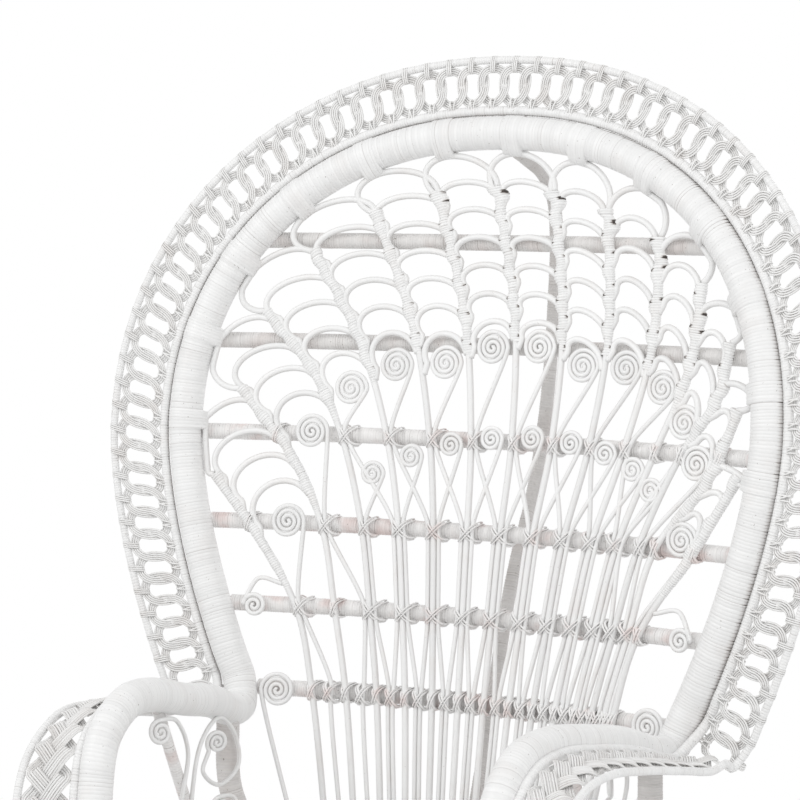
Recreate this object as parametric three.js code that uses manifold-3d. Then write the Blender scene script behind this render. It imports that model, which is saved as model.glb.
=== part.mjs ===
// Peacock chair in painted rattan: a balloon back with a fan of arched ribs and a linked-ring border,
// poles that sweep forward into the arms, a woven seat and an hourglass base of ribs.
// Millimetres, +Z up, the front faces -Y. The origin is under the middle of the chair, on the floor.

import * as THREE from "three";
import { mergeVertices } from "three/addons/utils/BufferGeometryUtils.js";
import Module from "manifold-3d";

const wasm = await Module();
wasm.setup();

// Fit between neighbouring pieces.
const seam = 0.3;
const facetRoom = 1;
const paintThickness = 0.05;

// Back: the hoop is the big wrapped pole, measured on its axis.
const hoopDiameter = 43;
const hoopTopHeight = 1385;
const hoopWideHeight = 1015;
const hoopHalfWidth = 403;
const hoopRoundness = 2.2;
const hoopFootHeight = 668;
const hoopFootHalfWidth = 303;
const hoopFootEase = 1.6;
const backLeanAngle = 8;
const backBow = 57;

// Border round the hoop: two thin wrapped rims, with a looped chain of cane between them.
const borderWidth = 92;
const rimDiameter = 10;
const loopPitch = 29.5;
const loopLength = 51;
const loopStrandWidth = 10;
const loopStrandDepth = 4.4;
const loopDepth = 4.6;
const loopRoom = 0.7;
const chainSections = 4;

// Rails across the back, and the bowed spine behind them.
const railDiameter = 21;
const railHeightShares = [0.248, 0.36, 0.471, 0.592, 0.717, 0.854];
const spineDiameter = 18;
const spineBulge = 192;
const spineShares = [[0.99, 0.02], [0.965, 0.42], [0.943, 0.7], [0.909, 0.885], [0.85, 0.975],
  [0.77, 1], [0.67, 1], [0.59, 0.955], [0.5, 0.84], [0.427, 0.67], [0.36, 0.556], [0.253, 0.44],
  [0.125, 0.29], [0, 0.09]];

// Fan of ribs: lanes are the wrapped bundles, and arches spring between neighbouring lanes.
const laneDiameter = 11;
const laneShares = [0.072, 0.0893, 0.1017, 0.1154, 0.1414];
const laneLeadShare = 1.75;
const laneDriftShare = 0.0042;
const laneTurnAngle = 15.4;
const laneTurnDriftShare = 0.016;
const laneTopDrop = 46;
const outerLaneTopDrop = 12;
const laneBelly = 15;
const outerLaneBelly = 38;
const firstColumn = -6;
const archCounts = [4, 4, 5, 6, 7, 7, 7, 7, 6, 5, 4, 3, 3];
const crownLeadAngle = 3;
const crownTurnAngle = 15.5;
const archStrand = 7;
const archStep = 36;
const sideStretchShare = 0.02;
const archDrop = 24;
const farDropShare = 0.72;
const topArchFlareAngle = 26;
const scrollDrop = 32;
const scrollDiameter = 40;
const scrollTurns = 1.34;
const smallScrollDiameter = 24;
const smallScrollTurns = 0.84;
const smallScrollColumns = 4;
const smallScrollRail = 3;
const smallScrollLift = 8;
const smallScrollSag = 54;
const coilPitchShare = 1.15;
const stemDiameter = 6.5;
const endCurlInset = 30;
const endStemFoot = 205;

// Arms: the hoop's pole goes on forwards, and a flared band of looped cane hangs outside it.
// Each share triple is (run forwards, draw-in towards the middle, rise from the seat to the crest).
// The pole's own foot stands on the seat ring, just clear of the seat's weave.
const armDiameter = 41;
const armRun = 429;
const armDrawIn = 75;
const armCrestHeight = 703;
const armShares = [[0.04, 0.05, 0.81], [0.12, 0.13, 0.813], [0.27, 0.31, 0.896], [0.48, 0.47, 0.963],
  [0.67, 0.55, 1], [0.81, 0.59, 0.974], [0.914, 0.6, 0.858], [0.96, 0.63, 0.653], [0.99, 0.72, 0.354]];
const armRimShares = [[0.05, 0.03, 0.8], [0.13, 0.1, 0.79], [0.27, 0.22, 0.83], [0.48, 0.36, 0.89],
  [0.67, 0.48, 0.925], [0.81, 0.54, 0.89], [0.93, 0.55, 0.76], [0.99, 0.6, 0.55], [1.0, 0.8, 0.26],
  [0.93, 1.45, 0.02]];
const armBandShares = [0.06, 0.93];
const armLoops = 11;
const armLoopLength = 62;
const armStrandWidth = 12;
const postDiameter = 30;
const postShares = [0.1, 0.83];
const braceDiameter = 15;
const braceShares = [[0.42, 0.5], [0.76, -0.05]];

// Scrollwork under each arm: a coil, then the stem that leads from it to the seat. The coils start at
// these turns, counted from the back of the coil upwards, and wind inwards by the sign. Each share pair
// is (run forwards along the arm, rise from the seat to the crest of the arm).
const armScrollStrand = 7;
const armScrollDiameter = 27;
const armScrollTurns = 1.25;
const armScrolls = [
  {
    start: 0.25,
    wind: 1,
    shares: [[0.622, 0.83], [0.53, 0.87], [0.463, 0.72], [0.5, 0.5], [0.536, 0.24], [0.55, 0]],
  },
  {
    start: 0.6,
    wind: -1,
    shares: [[0.275, 0.71], [0.335, 0.6], [0.26, 0.53], [0.18, 0.6], [0.185, 0.72], [0.25, 0.8], [0.35, 0.72],
      [0.42, 0.5], [0.44, 0.24], [0.45, 0]],
  },
  { start: 0.25, wind: 1, shares: [[0.285, 0.4], [0.22, 0.43], [0.2, 0.29], [0.23, 0.12], [0.26, 0]] },
];

// Seat and hourglass base.
const seatHeight = 435;
const seatHalfWidth = 270;
const seatHalfDepth = 245;
const seatSquareness = 3.4;
const seatRingDiameter = 32;
const seatWeaveThickness = 14;
const bearerDiameter = 18;
const waistHeight = 215;
const waistHalfWidth = 178;
const waistHalfDepth = 165;
const waistHoopDiameter = 16;
const bandThickness = 9;
const floorHalfWidth = 262;
const floorHalfDepth = 250;
const floorRingDiameter = 30;
const baseRibDiameter = 12;
const baseRibs = 16;
const neckSharpness = 1.8;

// Bands of woven cane round the base, from and to these shares of the way from the waist (0) up to the
// seat (1) and down to the floor (-1). The ribs bend at the edges of the bands.
const waistBandShares = [-0.16, 0.16];
const apronShares = [0.7, 0.9];
const footBandShares = [-0.9, -0.7];
const baseRibShares = [-1, ...footBandShares, ...waistBandShares, ...apronShares, 1];

// Faceting.
const poleSides = 8;
const railSides = 6;
const rimSides = 4;
const ribSides = 3;
const loopSteps = 6;
const coilSteps = 7;
const archSteps = 4;
const topArchSteps = 6;
const hoopSteps = 36;
const ringSteps = 24;
const railSteps = 6;
const spineSteps = 11;
const armSteps = 14;

const paint = { color: 0xf4f2ee, roughness: 0.42, metalness: 0 };
const group = new THREE.Group();
const rad = THREE.MathUtils.degToRad;
const sideways = new THREE.Vector3(1, 0, 0);
const backHeight = hoopTopHeight - seatHeight;
const laneRadius = laneDiameter / 2;
const lastColumn = firstColumn + archCounts.length - 1;

// Solids.

function solid(geometry) {
  const bare = geometry.clone();
  bare.deleteAttribute("normal");
  bare.deleteAttribute("uv");
  const merged = mergeVertices(bare);
  return new wasm.Manifold(new wasm.Mesh({
    numProp: 3,
    vertProperties: Float32Array.from(merged.attributes.position.array),
    triVerts: Uint32Array.from(merged.index.array),
  }));
}

function addPiece(name, body) {
  const mesh = body.getMesh();
  const geometry = new THREE.BufferGeometry();
  geometry.setAttribute("position", new THREE.BufferAttribute(mesh.vertProperties, mesh.numProp));
  geometry.setIndex(new THREE.BufferAttribute(mesh.triVerts, 1));
  const piece = new THREE.Mesh(geometry, new THREE.MeshStandardMaterial(paint));
  piece.name = name;
  group.add(piece);
}

function join(bodies) {
  return bodies.reduce((whole, body) => whole.add(body));
}

// Trims a piece to its neighbours. Off-cuts on the far side of a neighbour are dropped, and so are the
// slivers that are finer than the paint.
function clear(body, ...neighbours) {
  const rest = neighbours.reduce((left, neighbour) => left.subtract(neighbour), body);
  const whole = rest.decompose().reduce((most, part) => (part.volume() > most.volume() ? part : most));
  return whole.simplify(paintThickness);
}

function polygon(halfWidth, halfHeight, sides) {
  const turn = Math.PI / sides;
  return Array.from({ length: sides }, (_, i) => {
    const angle = turn + (i * 2 * Math.PI) / sides;
    return new THREE.Vector2(halfWidth * Math.cos(angle), halfHeight * Math.sin(angle));
  });
}

// The distance from the axis of a faceted pole to its flats.
function flatsAt(diameter, sides) {
  return (diameter / 2) * Math.cos(Math.PI / sides);
}

// A pole bent smoothly along points, round in section, with evenly spaced corners.
function pole(points, diameter, sides, steps) {
  const path = points.length > 2 ? new THREE.CatmullRomCurve3(points) : new THREE.LineCurve3(...points);
  return poleAlong(path, diameter, sides, steps);
}

// A pole whose corners are the points themselves, so that it meets each tie on its way.
function cornered(points, diameter, sides) {
  const path = new THREE.CatmullRomCurve3(points);
  path.getUtoTmapping = (share) => share;
  return poleAlong(path, diameter, sides, points.length - 1);
}

function poleAlong(extrudePath, diameter, sides, steps) {
  const section = new THREE.Shape(polygon(diameter / 2, diameter / 2, sides));
  return solid(new THREE.ExtrudeGeometry(section, { steps, extrudePath, bevelEnabled: false }));
}

// Skins a list of equal sections, either round into a closed loop or with a flat cap at each end.
function loft(sections, looped) {
  const count = sections[0].length;
  const positions = sections.flatMap((section) => section.flatMap((p) => [p.x, p.y, p.z]));
  const index = [];
  const spans = looped ? sections.length : sections.length - 1;
  for (let s = 0; s < spans; s += 1) {
    const next = (s + 1) % sections.length;
    for (let i = 0; i < count; i += 1) {
      const j = (i + 1) % count;
      const [a, b, c, d] = [s * count + i, s * count + j, next * count + j, next * count + i];
      index.push(a, b, c, a, c, d);
    }
  }
  if (!looped) {
    const last = (sections.length - 1) * count;
    for (let i = 1; i < count - 1; i += 1) {
      index.push(0, i + 1, i, last, last + i, last + i + 1);
    }
  }
  const geometry = new THREE.BufferGeometry();
  geometry.setAttribute("position", new THREE.Float32BufferAttribute(positions, 3));
  geometry.setIndex(index);
  const body = solid(geometry);
  if (body.volume() > 0) return body;
  geometry.setIndex(index.reverse());
  return solid(geometry);
}

// Outlines of the back, as (x, z) before the back is leaned and bowed.

function hoopSide(share) {
  const drop = Math.pow(share, hoopFootEase);
  return new THREE.Vector2(THREE.MathUtils.lerp(hoopHalfWidth, hoopFootHalfWidth, drop),
    THREE.MathUtils.lerp(hoopWideHeight, hoopFootHeight, share));
}

function hoopCrown(share) {
  const angle = share * Math.PI / 2;
  const across = Math.pow(Math.cos(angle), 2 / hoopRoundness);
  const rise = Math.pow(Math.sin(angle), 2 / hoopRoundness);
  return new THREE.Vector2(hoopHalfWidth * across, hoopWideHeight + (hoopTopHeight - hoopWideHeight) * rise);
}

function rightOutline() {
  const half = hoopSteps / 2;
  const sides = Array.from({ length: half }, (_, i) => hoopSide(1 - i / half));
  const crown = Array.from({ length: half + 1 }, (_, i) => hoopCrown(i / half));
  return [...sides, ...crown];
}

function hoopOutline(offset) {
  const right = rightOutline();
  const left = right.slice(0, -1).map((p) => new THREE.Vector2(-p.x, p.y));
  const whole = [...left, ...right.reverse()];
  return whole.map((p, i) => {
    const ahead = whole[Math.min(i + 1, whole.length - 1)];
    const behind = whole[Math.max(i - 1, 0)];
    const run = ahead.clone().sub(behind).normalize();
    return new THREE.Vector2(p.x - run.y * offset, p.y + run.x * offset);
  });
}

// The back's surface: it leans away from the seat, and its sides come forward.
function onBack(flat, behind = 0) {
  const rise = flat.y - seatHeight;
  const bow = backBow * Math.pow(flat.x / hoopHalfWidth, 2);
  const y = seatHalfDepth + rise * Math.tan(rad(backLeanAngle)) - bow;
  return new THREE.Vector3(flat.x, y + behind, flat.y);
}

const backCentre = new THREE.Vector2(0, hoopWideHeight);

// The point of an outline in a direction from the middle of the back, counted from straight up.
function outlineAt(outline, degrees) {
  const aim = new THREE.Vector2(Math.sin(rad(degrees)), Math.cos(rad(degrees)));
  for (let i = 1; i < outline.length; i += 1) {
    const a = outline[i - 1].clone().sub(backCentre);
    const b = outline[i].clone().sub(backCentre);
    const sideA = a.cross(aim);
    const sideB = b.cross(aim);
    if (sideA <= 0 && sideB >= 0 && a.dot(aim) > 0) {
      return outline[i - 1].clone().lerp(outline[i], sideA / (sideA - sideB));
    }
    if (sideA >= 0 && sideB <= 0 && a.dot(aim) > 0) {
      return outline[i - 1].clone().lerp(outline[i], sideA / (sideA - sideB));
    }
  }
  return outline[0].clone();
}

// A pole along an outline of the back. Grown, it is fatter and longer, to trim what meets it.
function outlinePole(offset, diameter, sides, grow) {
  const points = hoopOutline(offset).map((p) => onBack(p));
  const last = points.length - 1;
  [[0, 1], [last, last - 1]].forEach(([end, next]) => {
    points[end].add(points[end].clone().sub(points[next]).setLength(grow));
  });
  return pole(points, diameter + 2 * grow, sides, hoopSteps);
}

function hoopBody(grow) {
  return outlinePole(0, hoopDiameter, poleSides, grow);
}

function rimBody(offset, grow) {
  return outlinePole(offset, rimDiameter, rimSides, grow);
}

const hoopGrown = hoopBody(seam);
const innerRimOffset = flatsAt(hoopDiameter, poleSides) + flatsAt(rimDiameter, rimSides) + seam + facetRoom;

// A bundle of cane that loops along between two edge curves. Each loop laps the next: where two turns
// cross, one lies in front and the other behind. The start is drawn in by the seam.
function loopedCane(inner, outer, loops, from, to, size) {
  const length = inner.getLength();
  const lead = (size.loopLength - size.width) / 2 / length;
  const probe = 0.1 / loops;
  const first = Math.round(from * loops * loopSteps);
  const last = Math.round(to * loops * loopSteps);
  const place = (share) => {
    const turn = (share * loops + 0.5 / loopSteps) * 2 * Math.PI;
    const along = THREE.MathUtils.clamp(share + lead * Math.cos(turn), 0, 1);
    const near = inner.getPointAt(along);
    const far = outer.getPointAt(along);
    const span = far.clone().sub(near);
    const margin = size.width / 2 + flatsAt(rimDiameter, rimSides) + seam + loopRoom;
    const reach = 0.5 + Math.sin(turn) * (0.5 - margin / span.length());
    const facing = inner.getTangentAt(along).cross(span).normalize();
    const at = near.addScaledVector(span, reach).addScaledVector(facing, loopDepth * Math.cos(turn));
    return { at, facing };
  };
  const sections = Array.from({ length: last - first + 1 }, (_, i) => {
    const share = (first + i) / (loops * loopSteps);
    const here = place(share);
    const side = place(share + probe).at.sub(place(share - probe).at).normalize().cross(here.facing);
    const half = loopStrandDepth / 2;
    return [[-size.width / 2, half], [size.width / 2, half], [0, -half]].map(([across, deep]) => (
      here.at.clone().addScaledVector(side, across).addScaledVector(here.facing, deep)));
  });
  sections[0] = sections[0].map((p, k) => p.clone().add(sections[1][k].clone().sub(p).setLength(seam)));
  return loft(sections, false);
}

function addChain() {
  const inner = new THREE.CatmullRomCurve3(hoopOutline(innerRimOffset).map((p) => onBack(p)));
  const outer = new THREE.CatmullRomCurve3(hoopOutline(borderWidth).map((p) => onBack(p)));
  const middle = (inner.getLength() + outer.getLength()) / 2;
  const loops = Math.round(middle / loopPitch / chainSections) * chainSections;
  const size = { width: loopStrandWidth, loopLength };
  for (let s = 0; s < chainSections; s += 1) {
    const from = s / chainSections + (s ? 0 : 0.5 / loops);
    const to = (s + 1) / chainSections - (s < chainSections - 1 ? 0 : 0.5 / loops);
    addPiece(`border_chain_${s + 1}`, loopedCane(inner, outer, loops, from, to, size));
  }
}

// Rails and spine.

function railHeight(row) {
  return seatHeight + backHeight * railHeightShares[row];
}

function halfWidthAt(height, offset) {
  const outline = hoopOutline(offset).filter((p) => p.x >= 0).reverse();
  for (let i = 1; i < outline.length; i += 1) {
    const [a, b] = [outline[i - 1], outline[i]];
    if (a.y <= height && b.y >= height) return THREE.MathUtils.lerp(a.x, b.x, (height - a.y) / (b.y - a.y));
  }
  return outline[0].x;
}

// Rails lie just behind the ribs, clear of them where a facet cuts across the bow of the back.
const railBehind = (laneDiameter + railDiameter) / 2 + seam + backBow / Math.pow(railSteps, 2);

function addRails() {
  railHeightShares.forEach((_, row) => {
    const height = railHeight(row);
    const reach = halfWidthAt(height, 0);
    const points = Array.from({ length: railSteps + 1 }, (_, i) => (
      onBack(new THREE.Vector2(THREE.MathUtils.lerp(-reach, reach, i / railSteps), height), railBehind)));
    addPiece(`back_rail_${row + 1}`, clear(pole(points, railDiameter, railSides, railSteps), hoopGrown));
  });
}

function addSpine(seatRingGrown) {
  const points = spineShares.map(([rise, bulge]) => (
    onBack(new THREE.Vector2(0, seatHeight + backHeight * rise), spineBulge * bulge)));
  const spine = pole(points, spineDiameter, railSides, spineSteps);
  addPiece("back_spine", clear(spine, hoopGrown, seatRingGrown));
}

// Fan of ribs.

const plumb = new THREE.Vector2(0, -1);
const innerOutline = hoopOutline(-hoopDiameter / 2);
const archOutline = hoopOutline(-(hoopDiameter + archStrand) / 2 - seam);

// The heights that a lane's shares are measured at: in the seat ring, then at each rail in turn.
function ribHeight(stop) {
  return stop ? railHeight(stop - 1) : seatHeight + seatRingDiameter / 4;
}

function laneX(index, share) {
  const turn = index + laneLeadShare;
  return hoopHalfWidth * share * turn * (1 - laneDriftShare * turn * Math.abs(turn));
}

function isOuterLane(index) {
  return index < firstColumn || index === lastColumn;
}

function laneTop(index) {
  const turn = index + 1;
  const edge = outlineAt(innerOutline, laneTurnAngle * turn * (1 - laneTurnDriftShare * turn));
  const inward = backCentre.clone().sub(edge).normalize();
  return edge.addScaledVector(inward, isOuterLane(index) ? outerLaneTopDrop : laneTopDrop);
}

// A lane runs up from the seat ring, leans out with the fan and sways to the right near its top.
function lanePoints(index) {
  const top = laneTop(index);
  const stops = laneShares.map((share, i) => new THREE.Vector2(laneX(index, share), ribHeight(i)));
  const below = stops.filter((p) => top.y - p.y > laneTopDrop / 2 + archStep);
  const last = below[below.length - 1];
  if (isOuterLane(index)) last.x += Math.sign(last.x) * outerLaneBelly;
  const belly = last.clone().lerp(top, 0.5);
  belly.x += isOuterLane(index) ? 0 : laneBelly;
  return [...below, belly, top];
}

function laneCurve(index) {
  return new THREE.CatmullRomCurve3(lanePoints(index).map((p) => new THREE.Vector3(p.x, 0, p.y)));
}

// The first place down a lane that passes a test.
function downLane(lane, test) {
  const samples = lane.getSpacedPoints(200).reverse().map((p) => new THREE.Vector2(p.x, p.z));
  return samples.find(test) || samples[samples.length - 1];
}

// The place on a lane that lies a given drop below a crown, along the column.
function laneFoot(lane, crown, down, drop) {
  return downLane(lane, (p) => p.clone().sub(crown).dot(down) >= drop * down.length());
}

// An arch from foot to foot. With a flare its feet draw in below its widest place.
function archPoints(left, crown, right, flare, steps) {
  const lift = crown.clone().sub(left.clone().lerp(right, 0.5));
  return Array.from({ length: steps + 1 }, (_, i) => {
    const angle = THREE.MathUtils.lerp(Math.PI + flare, -flare, i / steps);
    const across = 0.5 + 0.5 * Math.cos(angle) / Math.cos(flare);
    const rise = (Math.sin(angle) + Math.sin(flare)) / (1 + Math.sin(flare));
    return left.clone().lerp(right, across).addScaledVector(lift, rise);
  });
}

function coilPoints(centre, diameter, strand, turns) {
  const steps = Math.round(turns * coilSteps);
  return Array.from({ length: steps + 1 }, (_, i) => {
    const turn = i / coilSteps;
    const radius = (diameter - strand) / 2 - turn * strand * coilPitchShare;
    return new THREE.Vector2(radius, 0).rotateAround(new THREE.Vector2(), turn * 2 * Math.PI).add(centre);
  }).reverse();
}

// Where a column of the fan starts at the hoop, and the middle of the scroll that closes it.
function columnEnds(index) {
  const hold = outlineAt(archOutline, crownLeadAngle + crownTurnAngle * index);
  const stretch = 1 + sideStretchShare * Math.abs(index);
  const depth = (archStep * (archCounts[index - firstColumn] - 1) + scrollDrop) * stretch;
  const isDeep = (p) => p.distanceTo(hold) >= depth && p.y < hold.y;
  const goal = downLane(laneCurve(index - 1), isDeep).clone().lerp(downLane(laneCurve(index), isDeep), 0.5);
  return { hold, goal, down: goal.clone().sub(hold).setLength(stretch) };
}

// A lane of the fan, the arches that spring to it from the lane on its left, and the scrolls that are
// tied to its right side.
function columnBody(index, grow) {
  const arches = index < firstColumn ? [] : archBodies(index, grow);
  const scrolls = index === lastColumn ? [] : scrollBodies(index + 1, grow);
  const curl = index < firstColumn || index === lastColumn ? [endCurlBody(index, grow)] : [];
  return join([laneBody(index, grow), ...arches, ...scrolls, ...curl]);
}

function archBodies(index, grow) {
  const { hold, down } = columnEnds(index);
  const count = archCounts[index - firstColumn];
  const lanes = [laneCurve(index - 1), laneCurve(index)];
  return Array.from({ length: count }, (_, row) => archBody(...lanes, hold, down, row, grow));
}

// A strand that would run into the hoop lies along the hoop's inner edge instead.
function insideHoop(p) {
  const ray = p.clone().sub(backCentre);
  const edge = outlineAt(archOutline, THREE.MathUtils.radToDeg(Math.atan2(ray.x, ray.y)));
  return edge.distanceTo(backCentre) < ray.length() ? edge : p;
}

function archBody(left, right, hold, down, row, grow) {
  const crown = hold.clone().addScaledVector(down, row * archStep);
  const drop = row ? archDrop : laneTopDrop;
  const near = laneFoot(left, crown, down, drop).clone();
  const far = laneFoot(right, crown, down, row ? drop * farDropShare : drop);
  near.add(far.clone().sub(near).setLength(laneRadius + archStrand / 2 + seam));
  const steps = row ? archSteps : topArchSteps;
  const points = archPoints(near, crown, far, row ? 0 : rad(topArchFlareAngle), steps).map(insideHoop);
  return pole(points.map((p) => onBack(p)), archStrand + 2 * grow, ribSides, steps);
}

function laneAt(index, height) {
  return laneFoot(laneCurve(index), new THREE.Vector2(0, height), plumb, 0).clone();
}

function betweenLanes(index, height) {
  return laneAt(index - 1, height).lerp(laneAt(index, height), 0.5);
}

// The scrolls between a lane and the one on its left.
function scrollBodies(index, grow) {
  const small = Math.abs(index) <= smallScrollColumns ? [smallScrollBody(index, grow)] : [];
  return [bigScrollBody(index, grow), ...small];
}

// The rails that a stem crosses on its way down, between its scroll and the lowest rail.
function railsBelow(height) {
  const rows = railHeightShares.map((_, row) => row).reverse();
  return rows.filter((row) => row > 0 && row <= smallScrollRail && railHeight(row) < height);
}

// The stem of a big scroll is tied to the lane on its left, crosses over to the lane on its right, and
// ends midway between them.
function bigScrollBody(index, grow) {
  const { goal } = columnEnds(index);
  const coil = coilPoints(goal, scrollDiameter, stemDiameter, scrollTurns);
  const shy = new THREE.Vector2(-laneRadius - flatsAt(stemDiameter, ribSides) - seam, 0);
  const stem = railsBelow(goal.y - scrollDiameter).map((row, i) => (
    i ? laneAt(index, railHeight(row)).add(shy) : tiePoint(index - 1, row)));
  const foot = [0, 1].map((stop) => betweenLanes(index, ribHeight(1 - stop)));
  return stemBody([...coil, ...stem, ...foot], grow);
}

function smallScrollBody(index, grow) {
  const sag = smallScrollSag * Math.pow(index / smallScrollColumns, 2);
  const centre = betweenLanes(index, railHeight(smallScrollRail) + smallScrollLift - sag);
  const coil = coilPoints(centre, smallScrollDiameter, stemDiameter, smallScrollTurns);
  const stem = railsBelow(centre.y - scrollDiameter).map((row) => tiePoint(index - 1, row));
  return stemBody([...coil, ...stem, betweenLanes(index, railHeight(0))], grow);
}

// Where a stem is tied to the right side of a lane, in front of a rail.
function tiePoint(index, row) {
  return laneAt(index, railHeight(row)).add(new THREE.Vector2(flatsAt(laneDiameter, rimSides), 0));
}

function stemBody(points, grow) {
  return cornered(points.map((p) => onBack(p)), stemDiameter + 2 * grow, ribSides);
}

// The outermost lanes each send a curl outwards over the second rail, to a small coil near the hoop.
function endCurlBody(index, grow) {
  const side = index < firstColumn ? -1 : 1;
  const height = railHeight(1);
  const centre = new THREE.Vector2(halfWidthAt(height, 0) - hoopDiameter / 2 - endCurlInset, height);
  const coil = coilPoints(centre, smallScrollDiameter, stemDiameter, smallScrollTurns);
  const crest = centre.clone().setY(height + smallScrollDiameter + stemDiameter);
  const root = laneAt(index, height + smallScrollDiameter);
  root.x *= side;
  return stemBody([...coil, crest, root].map((p) => new THREE.Vector2(side * p.x, p.y)), grow);
}

// A big scroll stands at each end of the lowest rail, against the hoop, on a stem from the seat ring.
function endScrollBody(side) {
  const height = railHeight(0);
  const reach = halfWidthAt(height, 0) - (hoopDiameter + scrollDiameter) / 2 - seam - facetRoom;
  const coil = coilPoints(new THREE.Vector2(reach, height), scrollDiameter, stemDiameter, scrollTurns);
  const points = [...coil, new THREE.Vector2(endStemFoot, ribHeight(0))];
  return stemBody(points.map((p) => new THREE.Vector2(side * p.x, p.y)), 0);
}

function laneBody(index, grow) {
  return cornered(lanePoints(index).map((p) => onBack(p)), laneDiameter + 2 * grow, rimSides);
}

function addFan(seatRingGrown) {
  addPiece("fan_lane_left", clear(columnBody(firstColumn - 1, 0), hoopGrown, seatRingGrown));
  for (let index = firstColumn; index <= lastColumn; index += 1) {
    const body = clear(columnBody(index, 0), hoopGrown, seatRingGrown, columnBody(index - 1, seam));
    addPiece(`fan_column_${String(index - firstColumn + 1).padStart(2, "0")}`, body);
  }
  addPiece("fan_scroll_right", clear(endScrollBody(1), hoopGrown, seatRingGrown));
  addPiece("fan_scroll_left", clear(endScrollBody(-1), hoopGrown, seatRingGrown));
}

// Horizontal rings of the seat and base.

function squircle(halfX, halfY, power, angle) {
  const bend = (v) => Math.sign(v) * Math.pow(Math.abs(v), 2 / power);
  return new THREE.Vector2(halfX * bend(Math.cos(angle)), halfY * bend(Math.sin(angle)));
}

// A point outside or inside a squircle, along its normal.
function beside(halfX, halfY, power, angle, offset) {
  const spread = Math.PI / ringSteps;
  const behind = squircle(halfX, halfY, power, angle - spread);
  const run = squircle(halfX, halfY, power, angle + spread).sub(behind);
  const outward = new THREE.Vector2(run.y, -run.x).setLength(offset);
  return squircle(halfX, halfY, power, angle).add(outward);
}

function ringOutline(halfX, halfY, power, offset) {
  return Array.from({ length: ringSteps }, (_, i) => (
    beside(halfX, halfY, power, ((i + 0.5) * 2 * Math.PI) / ringSteps, offset)));
}

function ringBody(halfX, halfY, power, z, halfWide, halfTall, sides) {
  const flat = Math.cos(Math.PI / sides);
  const section = polygon(halfWide / flat, halfTall / flat, sides);
  const loops = section.map((s) => ringOutline(halfX, halfY, power, s.x));
  const sections = Array.from({ length: ringSteps }, (_, i) => (
    section.map((s, j) => new THREE.Vector3(loops[j][i].x, loops[j][i].y, z + s.y))));
  return loft(sections, true);
}

function seatRingBody(grow) {
  const half = seatRingDiameter / 2 + grow;
  return ringBody(seatHalfWidth, seatHalfDepth, seatSquareness, seatHeight, half, half, poleSides);
}

function slab(outline, z, thickness) {
  const shape = new THREE.Shape(outline);
  const geometry = new THREE.ExtrudeGeometry(shape, { depth: thickness, bevelEnabled: false });
  geometry.translate(0, 0, z);
  return solid(geometry);
}

function seatWeaveBody(grow) {
  const outline = ringOutline(seatHalfWidth, seatHalfDepth, seatSquareness, -(seatRingDiameter / 2 + seam));
  return slab(outline, seatHeight - seatWeaveThickness / 2, seatWeaveThickness + grow);
}

function addSeat() {
  addPiece("seat_ring", seatRingBody(0));
  addPiece("seat_weave", seatWeaveBody(0));
  const inside = -(seatRingDiameter / 2 + seam);
  const level = seatHeight - seatWeaveThickness / 2 - seam - bearerDiameter / 2;
  const ends = [-1, 1].map((s) => new THREE.Vector3(s * (seatHalfWidth + inside), 0, level));
  addPiece("seat_bearer", clear(pole(ends, bearerDiameter, poleSides, 1), seatRingBody(seam)));
}

function baseLevel(share) {
  const neck = 1 - Math.pow(Math.abs(share), neckSharpness);
  const wide = share > 0 ? [seatHalfWidth, seatHalfDepth] : [floorHalfWidth, floorHalfDepth];
  const high = share > 0 ? seatHeight : floorRingDiameter / 2;
  return {
    halfX: THREE.MathUtils.lerp(wide[0], waistHalfWidth, neck),
    halfY: THREE.MathUtils.lerp(wide[1], waistHalfDepth, neck),
    power: THREE.MathUtils.lerp(2, seatSquareness, Math.max(share, 0)),
    z: THREE.MathUtils.lerp(waistHeight, high, Math.abs(share)),
  };
}

function baseRib(index) {
  const angle = ((index + 0.5) * 2 * Math.PI) / baseRibs;
  const section = polygon(baseRibDiameter / 2, baseRibDiameter / 2, ribSides);
  const sections = baseRibShares.map((share) => {
    const level = baseLevel(share);
    const at = beside(level.halfX, level.halfY, level.power, angle, 0);
    const out = beside(level.halfX, level.halfY, level.power, angle, baseRibDiameter).sub(at).normalize();
    return section.map((c) => new THREE.Vector3(at.x + out.x * c.x - out.y * c.y,
      at.y + out.y * c.x + out.x * c.y, level.z));
  });
  return loft(sections, false);
}

// A band lies against the outside of the ribs. Its corners stand at the ribs and halfway between them,
// and it keeps clear of the edges of each rib's flat.
function bandBody([lowShare, highShare]) {
  const low = baseLevel(lowShare);
  const high = baseLevel(highShare);
  const steps = 2 * baseRibs;
  const inner = flatsAt(baseRibDiameter, ribSides) + seam + (baseRibDiameter / 2) * Math.tan(Math.PI / steps);
  const outer = inner + bandThickness;
  const loops = [[low, inner], [low, outer], [high, outer], [high, inner]];
  const sections = Array.from({ length: steps }, (_, i) => loops.map(([level, out]) => {
    const p = beside(level.halfX, level.halfY, level.power, (i * 2 * Math.PI) / steps, out);
    return new THREE.Vector3(p.x, p.y, level.z);
  }));
  return loft(sections, true);
}

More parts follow.
